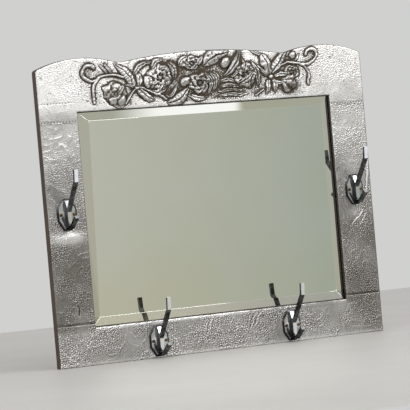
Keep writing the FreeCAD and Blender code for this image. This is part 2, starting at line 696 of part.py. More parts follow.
hook_places = {
    "hook_left": (f"-{STILE_MIDDLE_X}", "sizes.side_hook_height"),
    "hook_right": (STILE_MIDDLE_X, "sizes.side_hook_height"),
    "hook_lower_left": ("-sizes.lower_hook_offset", LOWER_HOOK_Z),
    "hook_lower_right": ("sizes.lower_hook_offset", LOWER_HOOK_Z),
}
hook_screw = sunk_screw("hook_screw")
doc.recompute()
for label, (x, z) in hook_places.items():
    screw_places = hook(label, x, z)
    copies(f"{label}_screws", hook_screw, screw_places, TO_ROOM)

# Facing pins in a row along each seam
pin = facing_pin()
doc.recompute()
pin_run = value("sizes.stile_width - 2 * sizes.pin_margin")
pin_count = max(2, math.floor(pin_run / sheet.pin_pitch) + 1)
seam_heights = {"top": f"{TOP_SEAM_Z} + sizes.pin_edge", "bottom": f"{BOTTOM_SEAM_Z} - sizes.pin_edge"}
for end, z in seam_heights.items():
    places = []
    for out in SIDES.values():
        for index in range(pin_count):
            step = f"({HALF_WIDTH} + sizes.pin_margin + {index} * {pin_run} / {pin_count - 1})"
            places.append((signed(out, step), FACE, z))
    copies(f"{end}_seam_pins", pin, places, TO_ROOM)

# Strap hangers with rolled eyes, their screws and the rings that swing in the eyes
strap_screw = round_screw("strap_screw")
doc.recompute()
BORE_RADIUS = "(sizes.ring_wire_diameter / 2 + sizes.ring_clearance)"
WIRE_RADIUS = "(sizes.ring_wire_diameter / 2)"
STRAP_HALF = "(sizes.strap_width / 2)"
STRAP_GAUGE = "sizes.strap_thickness"
STRAP_OUTER = f"({TIMBER_BACK} + {STRAP_GAUGE})"
EYE_Z = f"({HALF_HEIGHT} - sizes.hanger_drop)"
STRAP_END_Z = f"({EYE_Z} + sizes.strap_length - sizes.strap_width / 2)"
RING_HALF = "(sizes.ring_width / 2)"
BOW_Z = f"({RING_HALF} - sizes.ring_drop)"
CORNER = "sizes.ring_corner"
BAR_HALF = f"({RING_HALF} - {CORNER})"
for side, out in SIDES.items():
    x = signed(out, HANGER_X)
    edge = f"{x} - {STRAP_HALF}"
    across = (edge, f"{x} + {STRAP_HALF}")
    blank = fuse(f"{side}_strap_blank", [
        box(f"{side}_strap_leaf", across, (TIMBER_BACK, STRAP_OUTER), (EYE_Z, STRAP_END_Z)),
        cylinder(f"{side}_strap_end", STRAP_HALF, STRAP_GAUGE, x, TIMBER_BACK, STRAP_END_Z, TO_WALL),
        cylinder(f"{side}_strap_eye", EYE_RADIUS, "sizes.strap_width", edge, EYE_Y, EYE_Z, ALONG_X),
    ])
    first_z = f"{EYE_Z} + sizes.strap_screw_first"
    screw_heights = [first_z, f"{first_z} + sizes.strap_screw_pitch"]
    hole_radius = "sizes.strap_screw_shank_diameter / 2 + sizes.screw_clearance"
    holes = [
        cylinder(f"{side}_strap_hole_{n}", hole_radius, STRAP_GAUGE, x, TIMBER_BACK, z, TO_WALL)
        for n, z in enumerate(screw_heights, start=1)
    ]
    bore = cylinder(f"{side}_eye_bore", BORE_RADIUS, "sizes.strap_width", edge, EYE_Y, EYE_Z, ALONG_X)
    holes.append(bore)
    keep(cut(f"{side}_strap", blank, holes), f"hanger_strap_{side}")
    copies(f"hanger_screws_{side}", strap_screw, [(x, STRAP_OUTER, z) for z in screw_heights], TO_WALL)
    name = f"{side}_ring"
    legs = f"-{CORNER} - {BOW_Z}"
    wire = [
        cylinder(f"{name}_bar", WIRE_RADIUS, f"2 * {BAR_HALF}", f"-{BAR_HALF}", "0", "0", ALONG_X),
        torus(f"{name}_right_corner", CORNER, WIRE_RADIUS, 0, 90, BAR_HALF, f"-{CORNER}"),
        torus(f"{name}_left_corner", CORNER, WIRE_RADIUS, 90, 90, f"-{BAR_HALF}", f"-{CORNER}"),
        torus(f"{name}_bow", RING_HALF, WIRE_RADIUS, 180, 180, "0", BOW_Z),
        cylinder(f"{name}_right_leg", WIRE_RADIUS, legs, RING_HALF, "0", BOW_Z),
        cylinder(f"{name}_left_leg", WIRE_RADIUS, legs, f"-{RING_HALF}", "0", BOW_Z),
    ]
    keep(place(fuse(name, wire), x, EYE_Y, EYE_Z), f"hanger_ring_{side}")

doc.recompute()
for item in doc.Objects:
    if {"Invalid", "Error"} & set(item.State):
        raise RuntimeError(f"{item.Name} failed: {item.State}")
for piece in pieces:
    if piece.Shape.isNull() or not piece.Shape.isValid() or not piece.Shape.Solids:
        raise RuntimeError(f"{piece.Label} has no sound solid")

os.makedirs("parts", exist_ok=True)
for piece in pieces:
    solids = piece.Shape.Solids
    written = solids[0] if len(solids) == 1 else Part.makeCompound(solids)
    written.exportStep(f"parts/{piece.Label}.step")
    print(f"{piece.Label}: {len(solids)} solid(s), {written.Volume / 1000:.2f} cm3")
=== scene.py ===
"""Looks of the hall mirror: a pewter-faced frame, a bevelled plate, plated hooks and hanging gear.

Metres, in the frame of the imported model: X to the viewer's right, Y into the wall, Z up. The raised
work of the pewter is laid out in millimetres and turned into metres when its mesh is made.
"""

import logging
import math
from abc import ABC, abstractmethod
from dataclasses import dataclass, field, replace
from enum import Enum
from typing import Sequence, Union

import bmesh
import bpy
import numpy as np
from mathutils import Matrix, Vector


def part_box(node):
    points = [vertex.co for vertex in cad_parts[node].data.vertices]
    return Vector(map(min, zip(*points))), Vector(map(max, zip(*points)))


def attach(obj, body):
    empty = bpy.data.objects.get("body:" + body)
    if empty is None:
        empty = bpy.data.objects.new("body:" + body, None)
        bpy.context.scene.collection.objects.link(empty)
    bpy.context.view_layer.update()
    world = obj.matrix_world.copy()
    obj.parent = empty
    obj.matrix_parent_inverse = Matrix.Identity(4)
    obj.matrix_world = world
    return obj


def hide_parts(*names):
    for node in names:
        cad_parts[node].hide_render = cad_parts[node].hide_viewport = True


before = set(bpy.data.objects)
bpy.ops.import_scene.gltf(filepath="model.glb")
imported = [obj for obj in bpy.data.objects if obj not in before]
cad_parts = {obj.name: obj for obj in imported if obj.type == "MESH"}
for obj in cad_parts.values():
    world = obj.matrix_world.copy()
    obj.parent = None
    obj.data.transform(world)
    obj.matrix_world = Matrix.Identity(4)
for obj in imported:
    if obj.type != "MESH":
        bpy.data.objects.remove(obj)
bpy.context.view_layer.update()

log = logging.getLogger("hall_mirror")

Colour = tuple[float, float, float]
Place = tuple[float, float, float]
Point = tuple[float, float]
Spot = tuple[float, float, float, float]
Mound = tuple[float, float, float, float, float]
Span = tuple[float, float, float, float]
Array = np.ndarray
MM = 0.001
FRAME_BODY = "frame"
HOOKS = ("hook_left", "hook_right", "hook_lower_left", "hook_lower_right")
SIDES = ("left", "right")
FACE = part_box("left_facing")[0].y
OPENING = (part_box("right_stile")[0].x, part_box("top_rail")[0].z)
BEVEL = 27.0 * MM
BEVEL_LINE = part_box("mirror_plate")[1].z - BEVEL


class Slot(Enum):
    """The material slots."""

    PEWTER = "pewter"
    MIRROR = "mirror"
    CHROME = "chrome"


class Grain(Enum):
    """How a timber's figure is stretched: cycles per metre along X, Y and Z."""

    ALONG_X = (2.2, 46.0, 46.0)
    ALONG_Z = (46.0, 46.0, 2.2)


class Value:
    """A number that changes over a surface: a shader socket that takes part in arithmetic."""

    def __init__(self, shader: "Shader", socket: bpy.types.NodeSocket) -> None:
        """Wraps a socket of the shader's tree."""
        self.shader = shader
        self.socket = socket

    def _math(self, operation: str, *terms: "Number", clamp: bool = False) -> "Value":
        """Adds a Math node.

        Args:
            operation: the node's operation.
            terms: its inputs in order, each a value or a plain number.
            clamp: whether the result is held between nought and one.

        Returns:
            The node's result.
        """
        settings = {"operation": operation, "use_clamp": clamp}
        return self.shader.value("ShaderNodeMath", settings, dict(enumerate(terms)))

    def __add__(self, other: "Number") -> "Value":
        """Sum."""
        return self._math("ADD", self, other)

    def __radd__(self, other: "Number") -> "Value":
        """Sum with a plain number first."""
        return self._math("ADD", other, self)

    def __sub__(self, other: "Number") -> "Value":
        """Difference."""
        return self._math("SUBTRACT", self, other)

    def __rsub__(self, other: "Number") -> "Value":
        """Difference from a plain number."""
        return self._math("SUBTRACT", other, self)

    def __mul__(self, other: "Number") -> "Value":
        """Product."""
        return self._math("MULTIPLY", self, other)

    def __rmul__(self, other: "Number") -> "Value":
        """Product with a plain number first."""
        return self._math("MULTIPLY", other, self)

    def sine(self) -> "Value":
        """Sine, in radians."""
        return self._math("SINE", self)

    def clamped(self) -> "Value":
        """The value held between nought and one."""
        return self._math("ADD", self, 0.0, clamp=True)

    def size(self) -> "Value":
        """The value without its sign."""
        return self._math("ABSOLUTE", self)

    def larger(self, other: "Number") -> "Value":
        """The larger of two values."""
        return self._math("MAXIMUM", self, other)

    def between(self, low: float, high: float) -> "Value":
        """Nought below low, one above high and a smooth rise between them.

        Args:
            low: where the rise starts.
            high: where the rise ends.

        Returns:
            The eased value.
        """
        settings = {"interpolation_type": "SMOOTHSTEP"}
        inputs = {"Value": self, "From Min": low, "From Max": high}
        return self.shader.value("ShaderNodeMapRange", settings, inputs)

    def within(self, start: float, full: float, ebb: float, end: float) -> "Value":
        """One in a middle stretch, with a smooth rise before it and a smooth fall after it.

        Args:
            start: where the rise starts.
            full: where the rise ends.
            ebb: where the fall starts.
            end: where the fall ends.

        Returns:
            The eased value.
        """
        return self.between(start, full) * (1.0 - self.between(ebb, end))


Number = Union[Value, float]
Source = Union[Value, bpy.types.NodeSocket, float, Sequence[float]]


class Shader:
    """A node tree that is written as expressions."""

    def __init__(self, tree: bpy.types.NodeTree) -> None:
        """Empties the tree."""
        self.tree = tree
        self.tree.nodes.clear()

    def node(self, kind: str, settings: dict | None = None, inputs: dict | None = None) -> bpy.types.Node:
        """Makes any node.

        Args:
            kind: the node's type.
            settings: its properties, set first; stops are a colour ramp's places and colours.
            inputs: values or links of its sockets, by name or number.

        Returns:
            The node.
        """
        made = self.tree.nodes.new(kind)
        for name, setting in (settings or {}).items():
            if name == "stops":
                self._set_stops(made.color_ramp, setting)
            else:
                setattr(made, name, setting)
        for key, given in (inputs or {}).items():
            source = given.socket if isinstance(given, Value) else given
            if isinstance(source, bpy.types.NodeSocket):
                self.tree.links.new(source, made.inputs[key])
            else:
                made.inputs[key].default_value = source
        return made

    @staticmethod
    def _set_stops(ramp: bpy.types.ColorRamp, stops: Sequence[tuple[float, Colour]]) -> None:
        """Gives a ramp its stops, each a place and a colour.

        Args:
            ramp: the ramp.
            stops: its places and colours in order.
        """
        first, *between, last = stops
        for element, (place, colour) in zip(ramp.elements, (first, last)):
            element.position = place
            element.color = (*colour, 1.0)
        for place, colour in between:
            ramp.elements.new(place).color = (*colour, 1.0)

    def value(self, kind: str, settings: dict | None = None, inputs: dict | None = None,
              output: int | str = 0) -> Value:
        """A node's output as a value.

        Args:
            kind: the node's type.
            settings: its properties.
            inputs: values or links of its sockets.
            output: which output, by name or number.

        Returns:
            The output.
        """
        return Value(self, self.node(kind, settings, inputs).outputs[output])

    def place(self) -> bpy.types.NodeSocket:
        """The point on the piece, in the model's frame."""
        return self.node("ShaderNodeTexCoord").outputs["Object"]

    def stretched(self, factors: Sequence[float]) -> bpy.types.NodeSocket:
        """The point on the piece with each axis multiplied by a factor."""
        inputs = {0: self.place(), 1: tuple(factors)}
        return self.node("ShaderNodeVectorMath", {"operation": "MULTIPLY"}, inputs).outputs[0]

    def axes(self, vector: bpy.types.NodeSocket | None = None) -> tuple[Value, Value, Value]:
        """The parts of a vector.

        Args:
            vector: the vector, by default the point on the piece.

        Returns:
            Its parts along X, Y and Z.
        """
        parts = self.node("ShaderNodeSeparateXYZ", None, {0: vector or self.place()})
        across, into, up = (Value(self, output) for output in parts.outputs)
        return across, into, up

    def noise(self, scale: float, detail: float = 2.0, vector: bpy.types.NodeSocket | None = None,
              distortion: float = 0.0) -> Value:
        """Cloudy noise.

        Args:
            scale: cycles per unit.
            detail: how many finer layers it has.
            vector: where it is read, by default the point on the piece.
            distortion: how far it is warped.

        Returns:
            The noise, about one half on average.
        """
        inputs = {"Vector": vector or self.place(), "Scale": scale, "Detail": detail,
                  "Distortion": distortion}
        return self.value("ShaderNodeTexNoise", None, inputs)

    def cells(self, scale: float) -> Value:
        """How far the nearest of scattered points is, with so many points per unit."""
        inputs = {"Vector": self.place(), "Scale": scale}
        return self.value("ShaderNodeTexVoronoi", {"feature": "F1"}, inputs, "Distance")

    def attribute(self, name: str) -> Value:
        """A number that the mesh carries at its vertices."""
        settings = {"attribute_name": name, "attribute_type": "GEOMETRY"}
        return self.value("ShaderNodeAttribute", settings, None, "Fac")

    def mix(self, factor: Number, first: Source, second: Source) -> bpy.types.NodeSocket:
        """A colour between two others.

        Args:
            factor: nought for the first, one for the second.
            first: a colour or a socket.
            second: a colour or a socket.

        Returns:
            The mixed colour's socket.
        """
        def full(colour: Source) -> Source:
            """A plain colour with its alpha."""
            return (*colour, 1.0) if isinstance(colour, tuple) else colour

        inputs = {0: factor, 6: full(first), 7: full(second)}
        return self.node("ShaderNodeMix", {"data_type": "RGBA"}, inputs).outputs[2]

    def bump(self, height: Value, strength: float, distance: float) -> bpy.types.NodeSocket:
        """A normal that fine relief tilts.

        Args:
            height: the relief.
            strength: how much of it shows.
            distance: metres for a height of one.

        Returns:
            The normal's socket.
        """
        inputs = {"Height": height, "Strength": strength, "Distance": distance}
        return self.node("ShaderNodeBump", None, inputs).outputs["Normal"]

    def surface(self, inputs: dict) -> None:
        """Ends the tree in a shaded surface with these sockets."""
        shaded = self.node("ShaderNodeBsdfPrincipled", None, inputs)
        self.node("ShaderNodeOutputMaterial", None, {"Surface": shaded.outputs[0]})


@dataclass(frozen=True)
class Finish(ABC):
    """What a surface is made of and how it is worked."""

    name: str

    def material(self) -> bpy.types.Material:
        """The finish as a material, made once and then shared.

        Returns:
            The material.
        """
        found = bpy.data.materials.get(self.name)
        if found is None:
            found = bpy.data.materials.new(self.name)
            found.use_nodes = True
            self.paint(Shader(found.node_tree))
        return found

    @abstractmethod
    def paint(self, shader: Shader) -> None:
        """Writes the finish into an empty tree.

        Args:
            shader: the tree.
        """

    def dress(self, piece: bpy.types.Object) -> None:
        """Puts the finish on every face of a piece.

        Args:
            piece: the piece.
        """
        if not piece.material_slots:
            piece.data.materials.append(None)
        for slot in piece.material_slots:
            slot.material = self.material()


@dataclass(frozen=True)
class HammeredPewter(Finish):
    """Hand-worked pewter: bright on its high points, dark patina where polish never reaches, some painted
    shade.
    """

    bright: Colour = (0.90, 0.89, 0.88)
    dull: Colour = (0.177, 0.167, 0.152)
    # the patina's colour, also used for the painted shade round the hooks and along the foot
    patina: Colour = (0.085, 0.068, 0.050)
    worn_roughness: float = 0.40
    patina_roughness: float = 0.62
    gloss_gain: float = 0.10
    blotch_scale: float = 24.0
    grain_scale: float = 950.0
    pit_scale: float = 520.0
    pit_depth: float = 0.0007
    patina_run: Point = (0.42, 1.0)

    def paint(self, shader: Shader) -> None:
        """Mixes polish and patina by the sheet's own hollows, and darkens the painted shade in the same
        way.

        Args:
            shader: the finish's empty tree.
        """
        patina_and_shade = shader.attribute("patina_and_shade")
        tone = shader.attribute("tone")
        blotch = shader.noise(self.blotch_scale, 4.0)
        grain = shader.noise(self.grain_scale, 3.0)
        pits = shader.cells(self.pit_scale)
        dark = (patina_and_shade + (blotch - 0.5) * 0.30 + (grain - 0.5) * 0.22).between(*self.patina_run)
        lit = (tone + (blotch - 0.5) * 0.5 + (grain - 0.5) * 0.35).clamped()
        colour = shader.mix(dark, shader.mix(lit, self.dull, self.bright), self.patina)
        span = self.patina_roughness - self.worn_roughness
        roughness = dark * span + self.worn_roughness + (blotch - 0.5) * 0.12
        roughness = roughness - shader.attribute("gloss") * self.gloss_gain
        relief = pits * 0.7 + grain * 0.5
        shader.surface({
            "Base Color": colour, "Metallic": 1.0, "Roughness": roughness,
            "Normal": shader.bump(relief, 0.35, self.pit_depth),
        })


@dataclass(frozen=True)
class Timber(Finish):
    """Planed softwood with a long figure, stained or bare."""

    pale: Colour = (0.5, 0.35, 0.2)
    dark: Colour = (0.3, 0.19, 0.1)
    # the colour of dirt, also of the darker walls of the opening
    grime: Colour = (0.1, 0.07, 0.05)
    grain: Grain = Grain.ALONG_X
    roughness: float = 0.6
    age: float = 0.4
    opening: Point | None = None
    opening_fade: Point = (0.0006, 0.0025)
    soil_run: Point = (0.62, 1.05)
    ring_count: float = 34.0
    pore_scale: float = 9.0
    dirt_scale: float = 7.0
    pore_depth: float = 0.0006

    def _opening_dark(self, shader: Shader) -> Value:
        """How dark the walls of the opening are.

        Args:
            shader: the finish's tree.

        Returns:
            One on the walls of the opening, nought away from them.
        """
        across, _, up = shader.axes()
        past = (across.size() - self.opening[0]).larger(up.size() - self.opening[1])
        return 1.0 - past.between(*self.opening_fade)

    def paint(self, shader: Shader) -> None:
        """Draws the figure, the pores and the dirt of years, and darkens the walls of the opening.

        Args:
            shader: the finish's empty tree.
        """
        run = shader.stretched(self.grain.value)
        figure = shader.noise(1.0, 3.0, run, 0.6)
        rings = (figure * self.ring_count).sine() * 0.5 + 0.5
        pores = shader.noise(self.pore_scale, 2.0, run)
        dirt = shader.noise(self.dirt_scale, 5.0)
        wood = shader.mix(rings * 0.65 + pores * 0.35, self.pale, self.dark)
        soiled = (dirt * 1.3 + pores * 0.25).between(*self.soil_run) * self.age
        # darker on the walls of the opening
        if self.opening:
            soiled = soiled.larger(self._opening_dark(shader))
        shader.surface({
            "Base Color": shader.mix(soiled, wood, self.grime),
            "Roughness": (pores - 0.5) * 0.25 + self.roughness,
            "Normal": shader.bump(pores + rings * 0.3, 0.25, self.pore_depth),
        })


@dataclass(frozen=True)
class SilveredPlate(Finish):
    """Old silvered glass: a faint green cast, a haze, a few specks, warmer low down, a painted reflection
    at the foot.
    """

    silver: Colour = (0.93, 0.945, 0.915)
    warm: Colour = (0.905, 0.90, 0.80)
    speck: Colour = (0.42, 0.42, 0.38)
    # a painted reflection on the bevel along the foot, from its near end to its far end
    foot_reflection_near: Colour = (0.76, 0.745, 0.615)
    foot_reflection_far: Colour = (0.57, 0.58, 0.535)
    foot_run: Point = (-0.3, 0.3)
    foot_edge: Point = (-BEVEL_LINE - 1.0 * MM, -BEVEL_LINE + 1.0 * MM)
    warm_fade: Point = (-0.19, -0.05)
    haze_scale: float = 3.2
    haze_run: Point = (0.35, 0.7)
    speck_scale: float = 62.0
    speck_run: Point = (0.05, 0.016)
    clump_scale: float = 11.0
    clump_run: Point = (0.6, 0.72)

    def paint(self, shader: Shader) -> None:
        """Tints the silver, paints a reflection on the bevel along the foot and scatters specks.

        Args:
            shader: the finish's empty tree.
        """
        haze = shader.noise(self.haze_scale, 3.0)
        clumps = shader.noise(self.clump_scale, 2.0).between(*self.clump_run)
        specks = shader.cells(self.speck_scale).between(*self.speck_run) * clumps
        across, _, up = shader.axes()
        # a haze, and a tint that grows warmer towards the bottom
        haze_and_warmth = haze.between(*self.haze_run) * 0.6 + (1.0 - up.between(*self.warm_fade)) * 0.55
        tint = shader.mix(haze_and_warmth.clamped(), self.silver, self.warm)
        # painted reflection on the bevel along the foot
        foot = shader.mix(across.between(*self.foot_run), self.foot_reflection_near, self.foot_reflection_far)
        tint = shader.mix(1.0 - up.between(*self.foot_edge), tint, foot)
        shader.surface({
            "Base Color": shader.mix(specks * 0.5, tint, self.speck),
            "Metallic": 1.0, "Roughness": haze * 0.02 + specks * 0.1,
        })


@dataclass(frozen=True)
class GroundGlass(Finish):
    """The ground line where the level glass meets its bevel."""

    colour: Colour = (0.95, 0.96, 0.91)
    roughness: float = 0.12
    line: float = BEVEL_LINE
    tilt: float = 0.24
    uneven_scale: float = 120.0
    below: Point = (-0.205, -0.2)
    above: Point = (0.2, 0.206)
    foot_end: Point = (-0.02, 0.10)
    mitre_start: Point = (0.262, 0.277)
    head_end: Point = (-0.20, -0.14)

    def paint(self, shader: Shader) -> None:
        """A half-polished line that is frosted at the foot and at two corners.

        Args:
            shader: the finish's empty tree.
        """
        uneven = shader.noise(self.uneven_scale, 3.0)
        across, _, up = shader.axes()
        low = 1.0 - up.between(*self.below)
        foot = low * (1.0 - across.between(*self.foot_end)) + low * across.between(*self.mitre_start)
        head = up.between(*self.above) * (1.0 - across.between(*self.head_end))
        slope = foot * (up + self.line) * -2.0 * self.tilt - head * (up - self.line) * self.tilt
        shader.surface({
            "Base Color": (*self.colour, 1.0), "Metallic": 0.92,
            "Roughness": (uneven - 0.5) * 0.1 + self.roughness + (foot + head) * 0.06,
            "Normal": shader.bump(slope, 1.0, 1.0),
        })


@dataclass(frozen=True)
class PlatedMetal(Finish):
    """A plated or turned metal with fine scratches and tarnish; on a hook's casting, also painted shade."""

    bright: Colour = (0.62, 0.63, 0.66)
    tarnish_and_shade: Colour = (0.2, 0.2, 0.2)
    roughness: float = 0.08
    wear: float = 0.3
    scratch_scale: float = 260.0
    scratch_run: float = 22.0
    scratch_depth: float = 0.0003
    seat: float | None = None
    # where the painted shade on a casting sets in, by depth and by which way a face turns
    plate_step: Point = (0.0046, 0.0056)
    prong_middle: Span = (0.018, 0.024, 0.052, 0.056)
    front_turn: Point = (0.88, 0.95)
    front_lift: Point = (-0.19, -0.11)
    upper_turn: Point = (-0.1, 0.1)
    upper_lift: Point = (0.1, 0.3)
    cloud_scale: float = 70.0
    dull_run: Point = (0.5, 0.85)

    def _facing_shade(self, shader: Shader) -> Value:
        """Painted shade by which way each face turns: it stands in for the dark surroundings that flanks
        and undersides reflect.

        Args:
            shader: the finish's tree.

        Returns:
            One on flanks and undersides, nought on faces that look to the front, or up where they
            stand proud of the plate.
        """
        _, into, _ = shader.axes()
        reach = self.seat - into
        _, inward, lift = shader.axes(shader.node("ShaderNodeNewGeometry").outputs["Normal"])
        front = (inward * -1.0).between(*self.front_turn) * lift.between(*self.front_lift)
        upper = lift.between(*self.upper_lift) * (1.0 - inward.between(*self.upper_turn))
        middle = reach.within(*self.prong_middle)
        return (1.0 - front) * (1.0 - reach.between(*self.plate_step) * upper * (1.0 - middle * 0.6))

    def paint(self, shader: Shader) -> None:
        """Clouds the plating and scratches it, and on a hook's casting paints shade.

        Args:
            shader: the finish's empty tree.
        """
        cloud = shader.noise(self.cloud_scale, 4.0)
        fine = shader.noise(self.scratch_scale * 5.0, 2.0)
        drawn = shader.stretched((self.scratch_scale, self.scratch_scale, self.scratch_run))
        scratch = shader.noise(1.0, 2.0, drawn)
        dulled = (cloud + (fine - 0.5) * 0.3).between(*self.dull_run) * self.wear
        wear_and_shade = dulled
        if self.seat is not None:
            # painted shade on the lower part of a hook's plate
            low = shader.attribute("drop") * (cloud * 1.6 + 0.1)
            # painted shade on faces turned away from the front and from above
            wear_and_shade = (dulled + low + self._facing_shade(shader) * (cloud * 0.4 + 0.75)).clamped()
        shader.surface({
            "Base Color": shader.mix(wear_and_shade, self.bright, self.tarnish_and_shade), "Metallic": 1.0,
            "Roughness": dulled * 0.5 + (scratch - 0.5) * 0.05 + self.roughness,
            "Normal": shader.bump(scratch * 0.5 + fine * 0.3, 0.08, self.scratch_depth),
        })


@dataclass(frozen=True)
class StageFloor(Finish):
    """A plain pale floor."""

    colour: Colour = (0.53, 0.52, 0.495)
    shade: Colour = (0.48, 0.47, 0.445)
    cloud_scale: float = 5.0
    roughness: float = 0.42

    def paint(self, shader: Shader) -> None:
        """A soft, even surface with the least cloudiness.

        Args:
            shader: the finish's empty tree.
        """
        cloud = shader.noise(self.cloud_scale, 4.0)
        shader.surface({
            "Base Color": shader.mix(cloud, self.colour, self.shade),
            "Roughness": cloud * 0.1 + self.roughness,
        })


PEWTER = HammeredPewter("hammered_pewter")
STAINED_RAIL = Timber(
    "stained_rail", (0.075, 0.044, 0.026), (0.042, 0.024, 0.014), (0.014, 0.010, 0.008),
    opening=OPENING,
)
STAINED_STILE = replace(STAINED_RAIL, name="stained_stile", grain=Grain.ALONG_Z)
BARE_BOARD = Timber(
    "bare_board_left", (0.47, 0.32, 0.18), (0.33, 0.205, 0.105), (0.13, 0.09, 0.055),
    Grain.ALONG_Z, 0.72, 0.35,
)
REDDER_BOARD = replace(
    BARE_BOARD, name="bare_board_middle", pale=(0.41, 0.26, 0.14), dark=(0.27, 0.16, 0.08),
)
PALER_BOARD = replace(
    BARE_BOARD, name="bare_board_right", pale=(0.50, 0.35, 0.205), dark=(0.36, 0.23, 0.125),
)
BARE_BLOCK = replace(BARE_BOARD, name="bare_block", grain=Grain.ALONG_X, age=0.5)
SILVERED = SilveredPlate("silvered_plate")
GROUND_EDGE = GroundGlass("ground_edge")
# the chrome's dark colour also paints shade on the casting's flanks, undersides and lower plate
CHROME = PlatedMetal("chrome_casting", (0.86, 0.87, 0.89), (0.03, 0.03, 0.032), 0.05, 0.15, seat=FACE)
BRASS = PlatedMetal("slotted_brass", (0.17, 0.10, 0.045), (0.05, 0.03, 0.015), 0.35, 0.9)
ZINC = PlatedMetal("zinc_steel", (0.46, 0.45, 0.43), (0.15, 0.13, 0.11), 0.34, 0.8)
PIN_METAL = PlatedMetal("pin_pewter", (0.17, 0.16, 0.15), (0.04, 0.034, 0.03), 0.4, 0.8)
FLOOR = StageFloor("pale_floor")


def new_piece(name: str, mesh: bpy.types.Mesh) -> bpy.types.Object:
    """Puts a mesh in the scene as a piece.

    Args:
        name: the piece's name.
        mesh: its mesh, in the model's frame.

    Returns:
        The piece.
    """
    piece = bpy.data.objects.new(name, mesh)
    bpy.context.scene.collection.objects.link(piece)
    return piece


def stand_for(piece: bpy.types.Object, slot: Slot, *nodes: str) -> None:
    """Rides a piece on the frame in place of CAD nodes.

    Args:
        piece: the piece.
        slot: the piece's material slot; it is not used.
        nodes: the nodes that it stands for.
    """
    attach(piece, FRAME_BODY)
    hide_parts(*nodes)
    log.info("%s stands for %s", piece.name, ", ".join(nodes))


def dress_nodes(finish: Finish, *nodes: str) -> None:
    """Gives CAD nodes a finish.

    Args:
        finish: the finish.
        nodes: the nodes' names.
    """
    for node in nodes:
        finish.dress(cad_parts[node])
        log.info("%s is dressed in %s", node, finish.name)


def held(numbers: Array) -> Array:
    """Numbers held between nought and one."""
    return np.clip(numbers, 0.0, 1.0)


def eased(share: Array) -> Array:
    """A share from nought to one that starts and ends gently."""
    return share * share * (3 - 2 * share)


def ramp(numbers: Array, low: float, high: float) -> Array:
    """Nought up to low, one from high on and an even rise between them."""
    return held((numbers - low) / (high - low))


def ridge(off: Array, breadth: float) -> Array:
    """One on a line, with a soft fall to both sides of it."""
    return np.exp(-((off / breadth) ** 2))


def mound(x: Array, z: Array, middle_x: float, middle_z: float, reach_x: float, reach_z: float) -> Array:
    """One at a middle, with a soft fall all round it.

    Args:
        x: places across.
        z: places up.
        middle_x: the middle's place across.
        middle_z: the middle's place up.
        reach_x: how far it spreads across.
        reach_z: how far it spreads up and down.

    Returns:
        The mound at each place.
    """
    return np.exp(-(((x - middle_x) / reach_x) ** 2) - ((z - middle_z) / reach_z) ** 2)


class Lattice:
    """Repeatable noise over arrays of points, worked out from a lattice of whole numbers."""

    column_factor = 374761393
    row_factor = 668265263
    seed_factor = 974711
    stir_factor = 1274126177
    word = 0xFFFFFFFF
    half_word = 0xFFFF

    @classmethod
    def scatter(cls, column: Array, row: Array, seed: int) -> Array:
        """A number from nought to one for each lattice point.

        Args:
            column: whole numbers.
            row: whole numbers.
            seed: which scatter.

        Returns:
            The numbers.
        """
        mixed = (column * cls.column_factor + row * cls.row_factor + seed * cls.seed_factor) & cls.word
        mixed = ((mixed ^ (mixed >> 13)) * cls.stir_factor) & cls.word
        return ((mixed ^ (mixed >> 16)) & cls.half_word) / cls.half_word

    @staticmethod
    def _cells(x: Array, z: Array, size: float) -> tuple[Array, Array, Array, Array]:
        """Places in units of a size, and the column and row of the cell that each lies in."""
        u, v = x / size, z / size
        return u, v, np.floor(u).astype(np.int64), np.floor(v).astype(np.int64)

    @classmethod
    def clouds(cls, x: Array, z: Array, size: float, seed: int) -> Array:
        """Smooth noise from minus one to one.

        Args:
            x: places across.
            z: places up.
            size: the clouds' size in the places' unit.
            seed: which clouds.

        Returns:
            The noise.
        """
        u, v, column, row = cls._cells(x, z, size)
        s, t = eased(u - column), eased(v - row)
        low = cls.scatter(column, row, seed) * (1 - s) + cls.scatter(column + 1, row, seed) * s
        high = cls.scatter(column, row + 1, seed) * (1 - s) + cls.scatter(column + 1, row + 1, seed) * s
        return 2 * (low * (1 - t) + high * t) - 1

    @classmethod
    def pebbles(cls, x: Array, z: Array, size: float, seed: int) -> tuple[Array, Array]:
        """Distances to the nearest and second nearest of scattered points.

        Args:
            x: places across.
            z: places up.
            size: how far apart the points are.
            seed: which points.

        Returns:
            The two distances, in units of the size.
        """
        u, v, column, row = cls._cells(x, z, size)
        first = np.full_like(u, np.inf)
        second = np.full_like(u, np.inf)
        for i in (-1, 0, 1):
            for j in (-1, 0, 1):
                across = column + i + cls.scatter(column + i, row + j, seed)
                up = row + j + cls.scatter(column + i, row + j, seed + 1)
                far = np.hypot(across - u, up - v)
                second = np.minimum(second, np.maximum(first, far))
                first = np.minimum(first, far)
        return first, second


